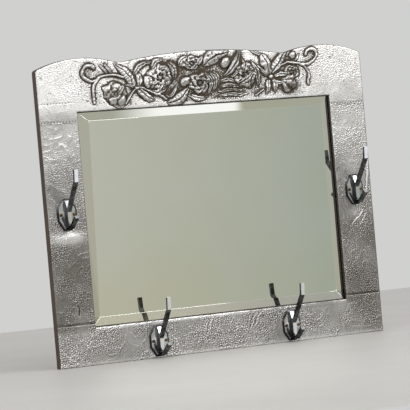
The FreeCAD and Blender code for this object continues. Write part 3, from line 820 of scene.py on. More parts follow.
@dataclass
class Relief:
    """Raised work over a grid of points, in millimetres.

    Places run across from the middle of the opening and up from its top edge.
    """

    x: Array
    z: Array
    chase_depth: float = 0.5
    chase_width: float = 1.4
    chase_offset: float = 0.8
    chase_end: float = 0.4
    border: float = 2.0
    pressed: Array = field(init=False)
    height: Array = field(init=False)
    cover: Array = field(init=False)

    def __post_init__(self) -> None:
        """Starts level, for a tool that presses unevenly."""
        self.pressed = np.clip(0.7 + 0.9 * Lattice.clouds(self.x, self.z, 15.0, 61), 0.1, 1.5)
        self.height = np.zeros_like(self.x)
        self.cover = np.zeros_like(self.x)

    def lay(self, rise: Array, edge: Array, sink: float = 0.55) -> None:
        """Lays a motif over what is there and chases a line round it.

        Args:
            rise: the motif's height.
            edge: how far inside its outline each point lies, negative outside.
            sink: how much of what lies below is beaten down under it.
        """
        over = eased(held(edge / self.border))
        self.height = self.height * (1 - sink * over) + np.where(over > 0, rise, 0.0) * over
        line = ridge(edge + self.chase_offset, self.chase_width) * (edge < self.chase_end)
        self.height = self.height - self.chase_depth * self.pressed * line
        self.cover = np.maximum(self.cover, held(edge / self.border + 0.6))


def smooth_route(points: Sequence[Point], steps: int = 9) -> Array:
    """A smooth line through points.

    Args:
        points: the points that it passes.
        steps: how many stretches there are between two points.

    Returns:
        Points along the line.
    """
    knots = np.array([points[0], *points, points[-1]], float)
    line = []
    for before, start, end, after in zip(knots, knots[1:], knots[2:], knots[3:]):
        for t in np.linspace(0, 1, steps, endpoint=False):
            bend = (2 * before - 5 * start + 4 * end - after) * t**2
            twist = (3 * start - before - 3 * end + after) * t**3
            line.append((2 * start + (end - before) * t + bend + twist) / 2)
    return np.array([*line, knots[-1]])


def beside(route: Array, x: Array, z: Array) -> tuple[Array, Array]:
    """Where each place lies beside a line.

    Args:
        route: points along the line.
        x: places across.
        z: places up.

    Returns:
        The nearest share of the line's length, and the distance, positive on its left.
    """
    lengths = np.hypot(*np.diff(route, axis=0).T)
    reached = np.concatenate([[0.0], np.cumsum(lengths)]) / lengths.sum()
    nearest = np.full_like(x, np.inf)
    share = np.zeros_like(x)
    for index, (start, end) in enumerate(zip(route, route[1:])):
        run = end - start
        part = held(((x - start[0]) * run[0] + (z - start[1]) * run[1]) / (run @ run))
        off_x, off_z = x - start[0] - part * run[0], z - start[1] - part * run[1]
        far = np.hypot(off_x, off_z)
        side = np.where(run[0] * off_z - run[1] * off_x >= 0, 1.0, -1.0)
        closer = far < np.abs(nearest)
        nearest = np.where(closer, far * side, nearest)
        share = np.where(closer, reached[index] + part * (reached[index + 1] - reached[index]), share)
    return share, nearest


@dataclass(frozen=True)
class Motif(ABC):
    """One raised shape of the floral band, in millimetres from the opening's top middle."""

    @abstractmethod
    def raise_on(self, relief: Relief) -> None:
        """Lays the motif on the relief.

        Args:
            relief: what it is laid on.
        """


@dataclass(frozen=True)
class Tendril(Motif):
    """A round stem along a route, thinner or thicker towards its end."""

    route: tuple[Point, ...]
    thickness: float = 6.6
    rise: float = 3.4
    taper: float = 0.25

    def raise_on(self, relief: Relief) -> None:
        """Lays the stem.

        Args:
            relief: what it is laid on.
        """
        share, off = beside(smooth_route(self.route), relief.x, relief.z)
        half = self.thickness / 2 * (1 - self.taper * share)
        crown = np.sqrt(held(1 - (off / half) ** 2))
        relief.lay(self.rise * crown, half - np.abs(off), 0.9)


@dataclass(frozen=True)
class Boss(Motif):
    """A smooth swelling."""

    middle: Point
    half_length: float
    half_width: float
    rise: float = 5.5
    lean: float = 0.0

    def raise_on(self, relief: Relief) -> None:
        """Lays the swelling.

        Args:
            relief: what it is laid on.
        """
        turn = math.radians(self.lean)
        x, z = relief.x - self.middle[0], relief.z - self.middle[1]
        along = (x * math.cos(turn) + z * math.sin(turn)) / self.half_length
        across = (z * math.cos(turn) - x * math.sin(turn)) / self.half_width
        out = np.hypot(along, across)
        crown = np.sqrt(held(1 - out**2))
        relief.lay(self.rise * crown, (1 - out) * min(self.half_length, self.half_width))


@dataclass(frozen=True)
class Leaf(Motif):
    """A pointed leaf along a route, with a midrib and slanting veins."""

    route: tuple[Point, ...]
    width: float
    rise: float = 4.6
    veins: int = 7
    belly: float = 0.8
    blunt: float = 0.85
    midrib: float = 1.3

    def raise_on(self, relief: Relief) -> None:
        """Lays the leaf, its folded blade and its veins.

        Args:
            relief: what it is laid on.
        """
        share, off = beside(smooth_route(self.route), relief.x, relief.z)
        swell = np.sin(np.pi * np.clip(share, 0.0, 0.999) ** self.belly)
        half = self.width / 2 * (0.1 + 0.9 * swell**self.blunt)
        out = np.abs(off) / half
        crown = held(1 - out**2.4) ** 0.6
        body = self.rise * crown * (0.4 + 0.6 * swell)
        midrib = 0.45 * self.rise * ridge(off, self.midrib) * (share < 0.97)
        vein = 0.22 * self.rise * np.sin(2 * np.pi * (share * self.veins - out * 0.55)) * out * crown
        relief.lay(body - midrib + vein, half - np.abs(off))


@dataclass(frozen=True)
class Rose(Motif):
    """An open flower of petals that overlap like a whorl."""

    middle: Point
    radius: float
    petals: int = 5
    whorl: float = 1.6
    rise: float = 6.2
    squash: float = 1.0
    turn: float = 0.0
    lip: float = 0.1
    creases: int = 22

    def raise_on(self, relief: Relief) -> None:
        """Lays the outer petals, the whorl and the heart.

        Args:
            relief: what it is laid on.
        """
        x, z = relief.x - self.middle[0], (relief.z - self.middle[1]) / self.squash
        angle = np.arctan2(z, x) + math.radians(self.turn)
        rim = self.radius * (1 + 0.075 * np.cos(self.petals * angle))
        out = np.hypot(x, z) / rim
        fold = (self.petals * angle / (2 * np.pi) + self.whorl * out) % 1.0
        lip = np.where(fold > self.lip, (fold - self.lip) / (1 - self.lip), 1 - fold / self.lip)
        dome = held(1 - out**3) ** 0.55
        petal = 0.48 + 0.52 * lip - 0.24 * np.sin(np.pi * held(out) * 2.5) ** 2
        heart = ridge(out, 0.12) * 0.3 - ridge(out - 0.24, 0.1) * 0.3
        crease = 0.10 * np.sin(self.creases * angle + 9 * out) * held(out * 2 - 0.5)
        relief.lay(self.rise * dome * (petal + heart + crease), (1 - out) * self.radius * self.squash)


@dataclass(frozen=True)
class Shell(Motif):
    """A rounded leaf like a fan, with ribs that end in scallops."""

    root: Point
    reach: float
    heading: float
    spread: float = 52.0
    ribs: int = 4
    rise: float = 5.4

    def raise_on(self, relief: Relief) -> None:
        """Lays the fan.

        Args:
            relief: what it is laid on.
        """
        x, z = relief.x - self.root[0], relief.z - self.root[1]
        turn = np.arctan2(z, x) - math.radians(self.heading)
        turn = (turn + np.pi) % (2 * np.pi) - np.pi
        open_by = math.radians(self.spread)
        lobes = np.cos(turn / open_by * np.pi * self.ribs / 2) ** 2
        rim = self.reach * (0.86 + 0.14 * lobes) * (1 - 0.3 * (turn / open_by) ** 2)
        far = np.hypot(x, z)
        out = far / np.maximum(rim, 1.0)
        body = np.sin(np.pi * np.clip(out, 0.0, 0.999) ** 1.5) ** 0.5
        flank = held(1 - (np.abs(turn) / open_by) ** 3)
        edge = np.minimum(rim - far, (open_by - np.abs(turn)) * far)
        relief.lay(self.rise * body * flank**0.6 * (0.7 + 0.3 * lobes), edge)


@dataclass(frozen=True)
class FloralBand:
    """The flowers, leaves and tendrils of the top sheet, lowest first."""

    motifs: tuple[Motif, ...] = (
        # scroll, drooping tendril and small leaves at the left end
        Tendril(((-198, 68), (-212, 72), (-228, 74.5), (-242, 73.5), (-254, 69), (-264, 65), (-275, 64),
                 (-285, 68), (-291, 76), (-291, 86), (-285, 94), (-275, 97), (-264, 92)), 6.4, 4.6, -0.6),
        Tendril(((-256, 67), (-265, 57), (-270, 44), (-270, 30), (-268, 18)), 9.0, 4.0, 0.1),
        Leaf(((-232, 78), (-241, 89), (-250, 99)), 9.0, 3.8, 3),
        Leaf(((-223, 78), (-231, 90), (-238, 101)), 8.0, 3.6, 3),
        # round flower with soft lobes
        Leaf(((-192, 20), (-206, 6), (-226, 9), (-240, 24)), 8.0, 3.4, 2),
        Boss((-218, 33), 28.0, 27.0, 3.8),
        Leaf(((-216, 30), (-204, 44), (-192, 52)), 14.0, 4.0, 3),
        Boss((-238, 45), 10.5, 9.5, 3.6, 30.0),
        Boss((-216, 47), 13.0, 9.5, 3.4, 20.0),
        Boss((-226, 17), 11.0, 8.5, 4.2, -32.0),
        Boss((-204, 18), 13.0, 9.0, 4.4, 38.0),
        Boss((-219, 32), 8.0, 6.0, 1.6),
        Tendril(((-196, 12), (-187, 22), (-178, 32), (-166, 41)), 5.6, 3.6, -0.1),
        # ribbed leaf and the blades of the left knot
        Leaf(((-174, 48), (-188, 74), (-214, 99)), 25.0, 5.2, 10),
        Leaf(((-166, 42), (-180, 49), (-194, 52)), 8.0, 4.6, 2),
        Leaf(((-166, 43), (-176, 58), (-180, 74)), 9.0, 4.4, 2),
        Leaf(((-161, 43), (-159, 60), (-164, 80)), 15.0, 4.8, 2),
        Leaf(((-164, 41), (-147, 25), (-124, 13)), 19.0, 4.4, 4),
        Leaf(((-163, 40), (-154, 24), (-144, 14)), 7.0, 4.4, 2),
        Leaf(((-170, 70), (-160, 87), (-143, 93), (-124, 97)), 13.0, 4.8, 6),
        # large rose left of the middle
        Boss((-139, 56), 10.0, 15.0, 5.6),
        Leaf(((-128, 84), (-116, 97), (-98, 100)), 15.0, 4.6, 5),
        Leaf(((-88, 94), (-76, 80), (-74, 56)), 20.0, 5.2, 6, 1.0, 0.6),
        Leaf(((-130, 38), (-118, 30), (-92, 38)), 16.0, 4.6, 6),
        Rose((-110, 63), 30.0, 6, 1.3, 6.6, 0.95, 20.0),
        Leaf(((-112, 82), (-96, 82), (-84, 68)), 12.0, 4.6, 4),
        Tendril(((-161, 44), (-140, 36), (-120, 27), (-98, 15)), 6.0, 4.6, 0.1),
        Leaf(((-98, 18), (-81, 27), (-66, 47)), 9.0, 5.0, 3),
        Leaf(((-94, 7), (-66, 14), (-38, 38)), 25.0, 5.2, 7),
        Boss((-48, 50), 15.0, 10.0, 5.2, 24.0),
        # the two flowers at the middle, and their wrapping petals
        Leaf(((-60, 84), (-52, 98), (-36, 106)), 13.0, 4.6, 5),
        Rose((-30, 90), 25.0, 7, 2.2, 5.8, 0.64, 10.0),
        Leaf(((-16, 83), (-8, 95), (2, 104)), 13.0, 5.0, 5),
        Leaf(((24, 70), (32, 54), (28, 30)), 12.0, 4.6, 4),
        Leaf(((12, 68), (24, 52), (19, 22)), 13.0, 5.0, 4),
        Leaf(((0, 66), (13, 48), (8, 20)), 13.0, 5.4, 4),
        Leaf(((-42, 20), (-20, 12), (6, 16)), 13.0, 4.6, 5),
        Rose((-15, 44), 25.0, 6, 2.0, 6.4, 0.9, 50.0),
        # veined leaf, smooth bud, spear and rose right of the middle
        Leaf(((0, 83), (22, 99), (64, 110)), 31.0, 5.8, 7),
        Leaf(((36, 42), (58, 47), (86, 40)), 10.0, 2.8, 5),
        Leaf(((35, 33), (60, 36), (98, 31)), 11.0, 2.8, 6),
        Leaf(((33, 23), (60, 27), (96, 20)), 10.0, 2.6, 5),
        Leaf(((28, 13), (60, 17), (106, 13)), 10.0, 2.4, 6),
        Leaf(((130, 30), (132, 58), (118, 88)), 12.0, 4.6, 5),
        Rose((101, 56), 30.0, 5, 1.3, 6.0, 0.95, 70.0),
        Leaf(((88, 40), (104, 46), (120, 62)), 15.0, 5.0, 5),
        Leaf(((64, 52), (74, 58), (84, 70)), 10.0, 4.6, 3),
        Boss((54, 86), 14.0, 10.5, 7.0, 62.0),
        Leaf(((50, 54), (68, 72), (83, 94), (92, 118)), 18.0, 7.2, 3, 0.85, 0.8),
        Leaf(((92, 66), (98, 82), (96, 98)), 9.0, 5.0, 3),
        # tulip, knot and blades of the right half
        Leaf(((146, 95), (134, 104), (118, 110)), 10.0, 4.4, 3),
        Leaf(((163, 50), (156, 75), (147, 99)), 27.0, 6.0, 3, 1.2, 0.5),
        Leaf(((161, 48), (146, 60), (131, 78)), 9.0, 5.0, 2),
        Leaf(((160, 45), (157, 28), (151, 10)), 13.0, 4.8, 3),
        Leaf(((170, 45), (176, 30), (172, 12)), 14.0, 4.6, 3),
        Tendril(((126, 10), (134, 16), (143, 21)), 6.4, 4.0, 0.1),
        # scroll, drooping tendril, small flower, shell and ribbed leaf at the right end
        Tendril(((176, 62), (194, 73), (212, 78), (228, 78), (244, 74), (258, 72), (270, 75), (280, 83),
                 (285, 94), (281, 103), (271, 106), (262, 101), (259, 94)), 6.2, 4.6, -0.45),
        Tendril(((244, 72), (256, 64), (262, 52), (262, 40), (259, 29)), 8.0, 4.0, 0.1),
        Rose((219, 57), 20.0, 5, 1.2, 5.0, 0.8, 30.0),
        Leaf(((174, 50), (192, 54), (212, 50)), 12.0, 4.6, 4),
        Shell((190, 40), 42.0, -22.0, 56.0, 3, 5.6),
        Leaf(((172, 42), (184, 36), (200, 34)), 12.0, 4.6, 3),
        Leaf(((168, 57), (190, 84), (217, 109)), 23.0, 5.4, 10),
        Boss((225, 93), 9.0, 7.5, 4.8, 40.0),
        Leaf(((229, 80), (236, 88), (243, 96)), 6.0, 4.0, 2),
        # the hearts of both knots
        Boss((-165, 42), 6.5, 5.5, 5.4),
        Boss((165, 48), 6.5, 5.5, 5.6),
    )
    # where patina gathers: middle, reach and amount
    shadows: tuple[Mound, ...] = (
        (-278, 82, 26, 26, 0.34), (-268, 40, 15, 34, 0.26), (-240, 100, 18, 12, 0.14),
        (-216, 40, 28, 30, 0.5), (-214, 40, 10, 11, 0.7), (-200, 12, 26, 9, 0.45),
        (-165, 45, 34, 30, 0.2), (-144, 95, 24, 12, 0.42), (-92, 34, 16, 13, 0.5),
        (-84, 88, 26, 18, 0.62), (-74, 66, 14, 30, 0.5), (-54, 70, 22, 18, 0.5),
        (-8, 72, 22, 11, 0.55), (8, 17, 34, 10, 0.45), (8, 55, 120, 46, 0.43), (34, 84, 13, 16, 0.46),
        (34, 99, 36, 15, 0.56), (38, 36, 20, 32, 0.5), (66, 30, 42, 24, 0.55), (70, 98, 16, 10, 0.45),
        (90, 68, 14, 12, 0.6), (86, 96, 17, 22, 0.78), (104, 56, 34, 30, 0.5), (112, 66, 22, 26, 0.5),
        (122, 34, 22, 26, 0.5), (132, 56, 14, 17, 0.45), (150, 84, 18, 24, 0.25), (160, 45, 34, 30, 0.2),
        (196, 86, 26, 24, 0.45), (220, 58, 22, 17, 0.62), (212, 27, 26, 20, 0.74), (252, 44, 30, 36, 0.2),
        (268, 92, 24, 20, 0.3),
    )
    # where the sheet swells below the flowers: middle, reach and rise
    cushions: tuple[Mound, ...] = (
        (-110, 66, 40, 36, 3.2), (-14, 44, 32, 28, 2.8), (-30, 92, 26, 16, 2.0), (98, 58, 38, 34, 3.0),
        (-214, 34, 28, 28, 2.4), (36, 96, 34, 16, 2.2), (212, 32, 26, 22, 2.2), (150, 76, 16, 28, 1.8),
    )

    def raise_on(self, relief: Relief) -> None:
        """Lays every motif in turn and swells the sheet below the flowers.

        Args:
            relief: what it is laid on.
        """
        for motif in self.motifs:
            motif.raise_on(relief)
        for *spot, rise in self.cushions:
            relief.height = relief.height + rise * mound(relief.x, relief.z, *spot)

    def patina(self, x: Array, z: Array) -> Array:
        """How much darker the band is where cloths seldom reach.

        Args:
            x: places across.
            z: places up from the opening's top edge.

        Returns:
            The extra patina.
        """
        dark = np.zeros_like(x)
        for *spot, amount in self.shadows:
            dark = np.maximum(dark, amount * mound(x, z, *spot))
        return dark


@dataclass
class Outline:
    """The frame's face in millimetres: the opening, the outer edges and the humped crest."""

    half_width: float
    bottom: float
    open_x: float
    open_z: float
    corner_rise: float = 94.0
    crest_rise: float = 22.0
    crest_radius: float = 1250.0
    hump_rise: float = 20.0
    hump_radius: float = 270.0
    hump_offset: float = 293.0
    dip_ease: float = 7.5
    corner_radius: float = 7.0

    @classmethod
    def from_frame(cls) -> "Outline":
        """Reads the face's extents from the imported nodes.

        Returns:
            The outline.
        """
        low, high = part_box("bottom_facing")
        stile_low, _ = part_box("right_stile")
        rail_low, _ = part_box("top_rail")
        return cls(high.x / MM, low.z / MM, stile_low.x / MM, rail_low.z / MM)

    @property
    def corner(self) -> float:
        """The height of the outer top corners."""
        return self.open_z + self.corner_rise

    def crest(self, x: Array) -> Array:
        """The height of the top edge.

        Args:
            x: places across.

        Returns:
            The crest's height at each.
        """
        middle = self._arc(x, 0.0, self.crest_rise, self.crest_radius)
        sides = self._arc(np.abs(x), self.hump_offset, self.hump_rise, self.hump_radius)
        ease = np.maximum(self.dip_ease - np.abs(middle - sides), 0.0) / self.dip_ease
        line = np.maximum(middle, sides) + ease**2 * self.dip_ease / 4
        into = np.clip(np.abs(x) - self.half_width + self.corner_radius, 0.0, self.corner_radius)
        drop = self.corner_radius - np.sqrt(self.corner_radius**2 - into**2)
        return self.corner + line - drop

    @staticmethod
    def _arc(x: Array, middle: float, rise: float, radius: float) -> Array:
        """The height of a circular hump above the corners."""
        return rise - radius + np.sqrt(np.maximum(radius**2 - (x - middle) ** 2, 0.0))

    def edge(self, x: Array, z: Array) -> Array:
        """How far each place lies from the nearest free edge of the facing.

        Args:
            x: places across.
            z: places up.

        Returns:
            The distances.
        """
        to_opening = np.hypot(
            np.maximum(np.abs(x) - self.open_x, 0.0), np.maximum(np.abs(z) - self.open_z, 0.0),
        )
        outer = np.minimum(self.half_width - np.abs(x), z - self.bottom)
        return np.minimum(to_opening, np.minimum(outer, self.crest(x) - z))


@dataclass
class PewterFacing:
    """The four sheets of pewter on the face of the frame."""

    outline: Outline
    hooks: Sequence[Point]
    back: float = field(init=False)
    top_seam: float = field(init=False)
    bottom_seam: float = field(init=False)
    pitch: float = 1.0
    seam_gap: float = 0.3
    pebble: float = 4.5
    pin_inset: float = 3.0
    lowest: float = -0.85
    sharp_angle: float = 62.0
    calm_run: Point = (-60.0, 180.0)
    folds: Spot = (-355.0, 160.0, 45.0, 45.0)
    pit_pitch: float = 7.0
    pit_level: float = 249.0
    pit_run: Point = (-396.0, -322.0)
    pit_depth: float = 0.9
    pit_breadth: float = 1.3
    # middle, reach and rise
    swellings: tuple[Mound, ...] = (
        (-358, -36, 36, 13, 3.2), (350, -40, 16, 12, 0.8), (-160, -300, 20, 8, 0.8),
    )
    # rise, breadth and route
    creases: tuple[tuple[float, float, tuple[Point, ...]], ...] = (
        (1.5, 1.7, ((376, -30), (366, -44), (350, -56), (340, -70))),
        (1.3, 1.6, ((384, -38), (374, -52), (362, -66))),
        (2.0, 2.2, ((396, 72), (393, 48), (389, 22), (385, 0))),
        (-2.4, 1.6, ((-346, -180), (-345, -190), (-347, -202))),
        (-2.0, 6.0, ((-392, 72), (-381, 55), (-371, 38))),
        (-2.0, 5.5, ((318, 66), (328, 50), (340, 38))),
        (0.8, 1.7, ((-396, -268), (-380, -286), (-356, -302))),
        (1.0, 1.5, ((-30, -238), (-37, -250), (-39, -260), (-48, -272))),
        (-0.8, 1.6, ((-36, -240), (-42, -250), (-45, -262), (-53, -274))),
        (0.9, 1.5, ((-41, -241), (-48, -254), (-50, -264))),
        (1.1, 1.5, ((92, -236), (83, -246), (80, -256), (70, -268))),
        (-0.9, 1.6, ((87, -236), (78, -246), (75, -256), (66, -268))),
        (1.1, 1.5, ((80, -237), (71, -247), (69, -257), (60, -272))),
        (-0.8, 1.6, ((74, -239), (67, -248), (64, -258), (57, -270))),
        (0.9, 1.5, ((66, -240), (60, -250), (57, -262))),
        (0.7, 1.5, ((36, -246), (30, -256), (28, -266), (20, -278))),
        (0.6, 1.5, ((20, -242), (14, -252), (12, -262))),
        (0.7, 1.6, ((-136, -262), (-120, -280), (-124, -296))),
    )

    def build(self) -> None:
        """Makes the four sheets."""
        shape = self.outline
        self.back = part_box("left_facing")[1].y
        self.top_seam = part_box("top_facing")[0].z / MM
        self.bottom_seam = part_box("bottom_facing")[1].z / MM
        wide = self._steps(-shape.half_width, -shape.open_x, shape.open_x, shape.half_width)
        crest = shape.crest(wide)
        up = np.linspace(0, 1, round(crest.max() - shape.open_z))[1:, None]
        leg = self._steps(self.top_seam, shape.open_z)[:, None] + 0 * wide
        band = shape.open_z + up * (crest - shape.open_z)
        self._sheet("top_sheet", "top_facing", wide, np.vstack([leg, band]))
        tall = self._steps(shape.bottom, -shape.open_z, self.bottom_seam)
        self._sheet("bottom_sheet", "bottom_facing", wide, tall[:, None] + 0 * wide)
        span = self._steps(self.bottom_seam + self.seam_gap, self.top_seam - self.seam_gap)[:, None]
        stiles = ((-shape.half_width, -shape.open_x), (shape.open_x, shape.half_width))
        for side, ends in zip(SIDES, stiles):
            across = self._steps(*ends)
            self._sheet(f"{side}_sheet", f"{side}_facing", across, span + 0 * across)

    def _steps(self, *ends: float) -> Array:
        """Even steps near the pitch that pass through each of the ends.

        Args:
            ends: where the steps start, pass and stop.

        Returns:
            The steps.
        """
        runs = [ends[:1]]
        for low, high in zip(ends, ends[1:]):
            runs.append(np.linspace(low, high, max(2, round((high - low) / self.pitch) + 1))[1:])
        return np.concatenate(runs)

    def _sheet(self, name: str, node: str, columns: Array, rows: Array) -> None:
        """Makes one sheet.

        Args:
            name: the piece's name.
            node: the CAD node that it stands for.
            columns: places across, in millimetres.
            rows: heights of the grid, a row of columns for each step up.
        """
        x = np.broadcast_to(columns, rows.shape)
        height, cover = self._height(x, rows)
        worn = WearAndPaintedLight(self, x, rows, height, cover).numbers()
        cell_x = (x[:-1, :-1] + x[1:, 1:]) / 2
        cell_z = (rows[:-1, :-1] + rows[1:, 1:]) / 2
        solid = (np.abs(cell_x) > self.outline.open_x) | (np.abs(cell_z) > self.outline.open_z)
        front = np.stack([x * MM, FACE - height * MM, rows * MM], axis=-1)
        piece = new_piece(name, self._mesh(name, front, solid, worn))
        PEWTER.dress(piece)
        stand_for(piece, Slot.PEWTER, node)

    def _height(self, x: Array, z: Array) -> tuple[Array, Array]:
        """How far the sheet stands out at each place.

        Args:
            x: places across.
            z: places up.

        Returns:
            The heights, and how far the flowers cover each place.
        """
        relief = self._flowers(x, z)
        dents = self.dents(x, z)
        beaten = self._beaten(x, z) * (1 - 0.7 * relief.cover)
        beaten = beaten * (1 - 0.15 * np.clip(dents, 0.0, 2.0)) + dents
        punched = 0.6 * Lattice.clouds(x, z, 4.2, 71) + 0.6 * Lattice.clouds(x, z, 9.0, 73)
        level = np.maximum(self.under_hooks(x, z), self._on_pins(z))
        height = relief.height + beaten * (1 - level) + self._pits(x, z) + punched * relief.cover - 0.3
        edge = self.outline.edge(x, z)
        height = height * held(0.3 + edge / 4.0) - 0.6 * ridge(edge, 1.3)
        return np.maximum(height, self.lowest), relief.cover

    def _flowers(self, x: Array, z: Array) -> Relief:
        """The floral band, drawn by a hand that sways a little, or level work on the other sheets.

        Args:
            x: places across.
            z: places up.

        Returns:
            The raised work.
        """
        sway_x = 2.0 * Lattice.clouds(x, z, 14.0, 51) + 0.8 * Lattice.clouds(x, z, 5.0, 53)
        sway_z = 2.0 * Lattice.clouds(x, z, 14.0, 55) + 0.8 * Lattice.clouds(x, z, 5.0, 57)
        relief = Relief(x + sway_x, z + sway_z - self.outline.open_z)
        if z.max() > self.outline.open_z:
            FloralBand().raise_on(relief)
        return relief

    def _beaten(self, x: Array, z: Array) -> Array:
        """The hammered ground: pebbled all over, rougher towards the foot, with folds and broad waves.

        Args:
            x: places across.
            z: places up.

        Returns:
            The ground's height.
        """
        drift = 2.2 * Lattice.clouds(x, z, 13.0, 11)
        coarse = self._stones(x + drift, z - 0.7 * drift, self.pebble, 21) ** 0.8
        fine = self._stones(x - drift, z + drift, self.pebble / 2, 41)
        calm = ramp(z, *self.calm_run) * (1.0 - 0.3 * (x > self.outline.open_x) * (z < self.top_seam))
        rough = np.clip(0.8 + 0.85 * Lattice.clouds(x, z, 34.0, 5), 0.2, 1.5) * (2.0 - 1.4 * calm)
        swirl = 12.0 * Lattice.clouds(x, z, 40.0, 7)
        fold = (1 - np.abs(Lattice.clouds(x + swirl, z * 0.6 - swirl, 11.0, 9))) ** 4
        folded = 0.7 - 0.5 * calm + 0.9 * mound(x, z, *self.folds)
        broad = 0.3 * Lattice.clouds(x, z, 90.0, 13) + 0.25 * Lattice.clouds(x, z, 26.0, 15)
        return rough * (0.72 * coarse + 0.28 * fine) + folded * fold + broad

    @staticmethod
    def _stones(x: Array, z: Array, size: float, seed: int) -> Array:
        """Rounded stones with narrow joints, nought to one high."""
        first, second = Lattice.pebbles(x, z, size, seed)
        return held(1.5 * (second - first))

    def dents(self, x: Array, z: Array) -> Array:
        """Swellings and creases that one sheet or another has by itself.

        Args:
            x: places across.
            z: places up.

        Returns:
            Their height.
        """
        height = np.zeros_like(x)
        for *spot, rise in self.swellings:
            height = height + rise * mound(x, z, *spot)
        for rise, breadth, route in self.creases:
            share, off = beside(smooth_route(route), x, z)
            swell = np.sin(np.pi * np.clip(share, 0.0, 0.999)) ** 0.5
            height = height + rise * swell * ridge(off, breadth)
        return height

    def _pits(self, x: Array, z: Array) -> Array:
        """A row of pits near the top of the left leg, where pins once stood.

        Args:
            x: places across.
            z: places up.

        Returns:
            Their height, below nought.
        """
        start, end = self.pit_run
        off = np.hypot((x - start) % self.pit_pitch - self.pit_pitch / 2, z - self.pit_level)
        return -self.pit_depth * ridge(off, self.pit_breadth) * (x < end)

    def under_hooks(self, x: Array, z: Array, reach: float = 1.0) -> Array:
        """One under a hook's plate, nought away from it.

        Args:
            x: places across.
            z: places up.
            reach: where it ends, as a multiple of the plate.

        Returns:
            The seats of the hooks.
        """
        seat = np.zeros_like(x)
        half_x, half_z = CoatHook.plate[0] / 2, CoatHook.plate[1] / 2
        for hook_x, hook_z in self.hooks:
            out = np.hypot((x - hook_x) / half_x, (z - hook_z) / half_z)
            seat = np.maximum(seat, held((reach - out) / 0.2 + 0.5))
        return seat

    def _on_pins(self, z: Array) -> Array:
        """The level strips along the rows of pins.

        Args:
            z: places up.

        Returns:
            One along the rows, nought away from them.
        """
        off = np.minimum(
            np.abs(z - self.top_seam - self.pin_inset), np.abs(z - self.bottom_seam + self.pin_inset),
        )
        return held(1.6 - off / 2.0)

    def _mesh(self, name: str, front: Array, solid: Array, worn: dict[str, Array]) -> bpy.types.Mesh:
        """The sheet's mesh: its face, and walls back to the timber.

        Args:
            name: the mesh's name.
            front: the face's grid of points.
            solid: which cells of the grid the sheet covers.
            worn: numbers that the vertices carry.

        Returns:
            The mesh.
        """
        used = np.zeros(front.shape[:2], bool)
        for i in (0, 1):
            for j in (0, 1):
                used[i:i + solid.shape[0], j:j + solid.shape[1]] |= solid
        count = int(used.sum())
        number = np.full(used.shape, -1)
        number[used] = np.arange(count)
        i, j = np.nonzero(solid)
        quads = np.stack([number[i, j], number[i, j + 1], number[i + 1, j + 1], number[i + 1, j]], axis=1)
        around = np.pad(solid, 1)
        rim = []
        sides = (((-1, 0), (1, 0)), ((0, 1), (2, 1)), ((1, 0), (3, 2)), ((0, -1), (0, 3)))
        for (up, across), ends in sides:
            free = ~around[i + 1 + up, j + 1 + across]
            rim.append(quads[free][:, ends])
        rim = np.concatenate(rim)
        brink = np.unique(rim)
        behind = np.full(count, -1)
        behind[brink] = count + np.arange(brink.size)
        walls = np.column_stack([rim, behind[rim[:, 1]], behind[rim[:, 0]]])
        points = front[used]
        rear = points[brink].copy()
        rear[:, 1] = self.back
        mesh = bpy.data.meshes.new(name)
        mesh.from_pydata(np.vstack([points, rear]).tolist(), [], np.vstack([quads, walls]).tolist())
        for label, numbers in worn.items():
            layer = mesh.attributes.new(label, "FLOAT", "POINT")
            carried = np.concatenate([numbers[used], numbers[used][brink]])
            layer.data.foreach_set("value", carried.astype(np.float32))
        mesh.shade_smooth()
        mesh.set_sharp_from_angle(angle=math.radians(self.sharp_angle))
        return mesh


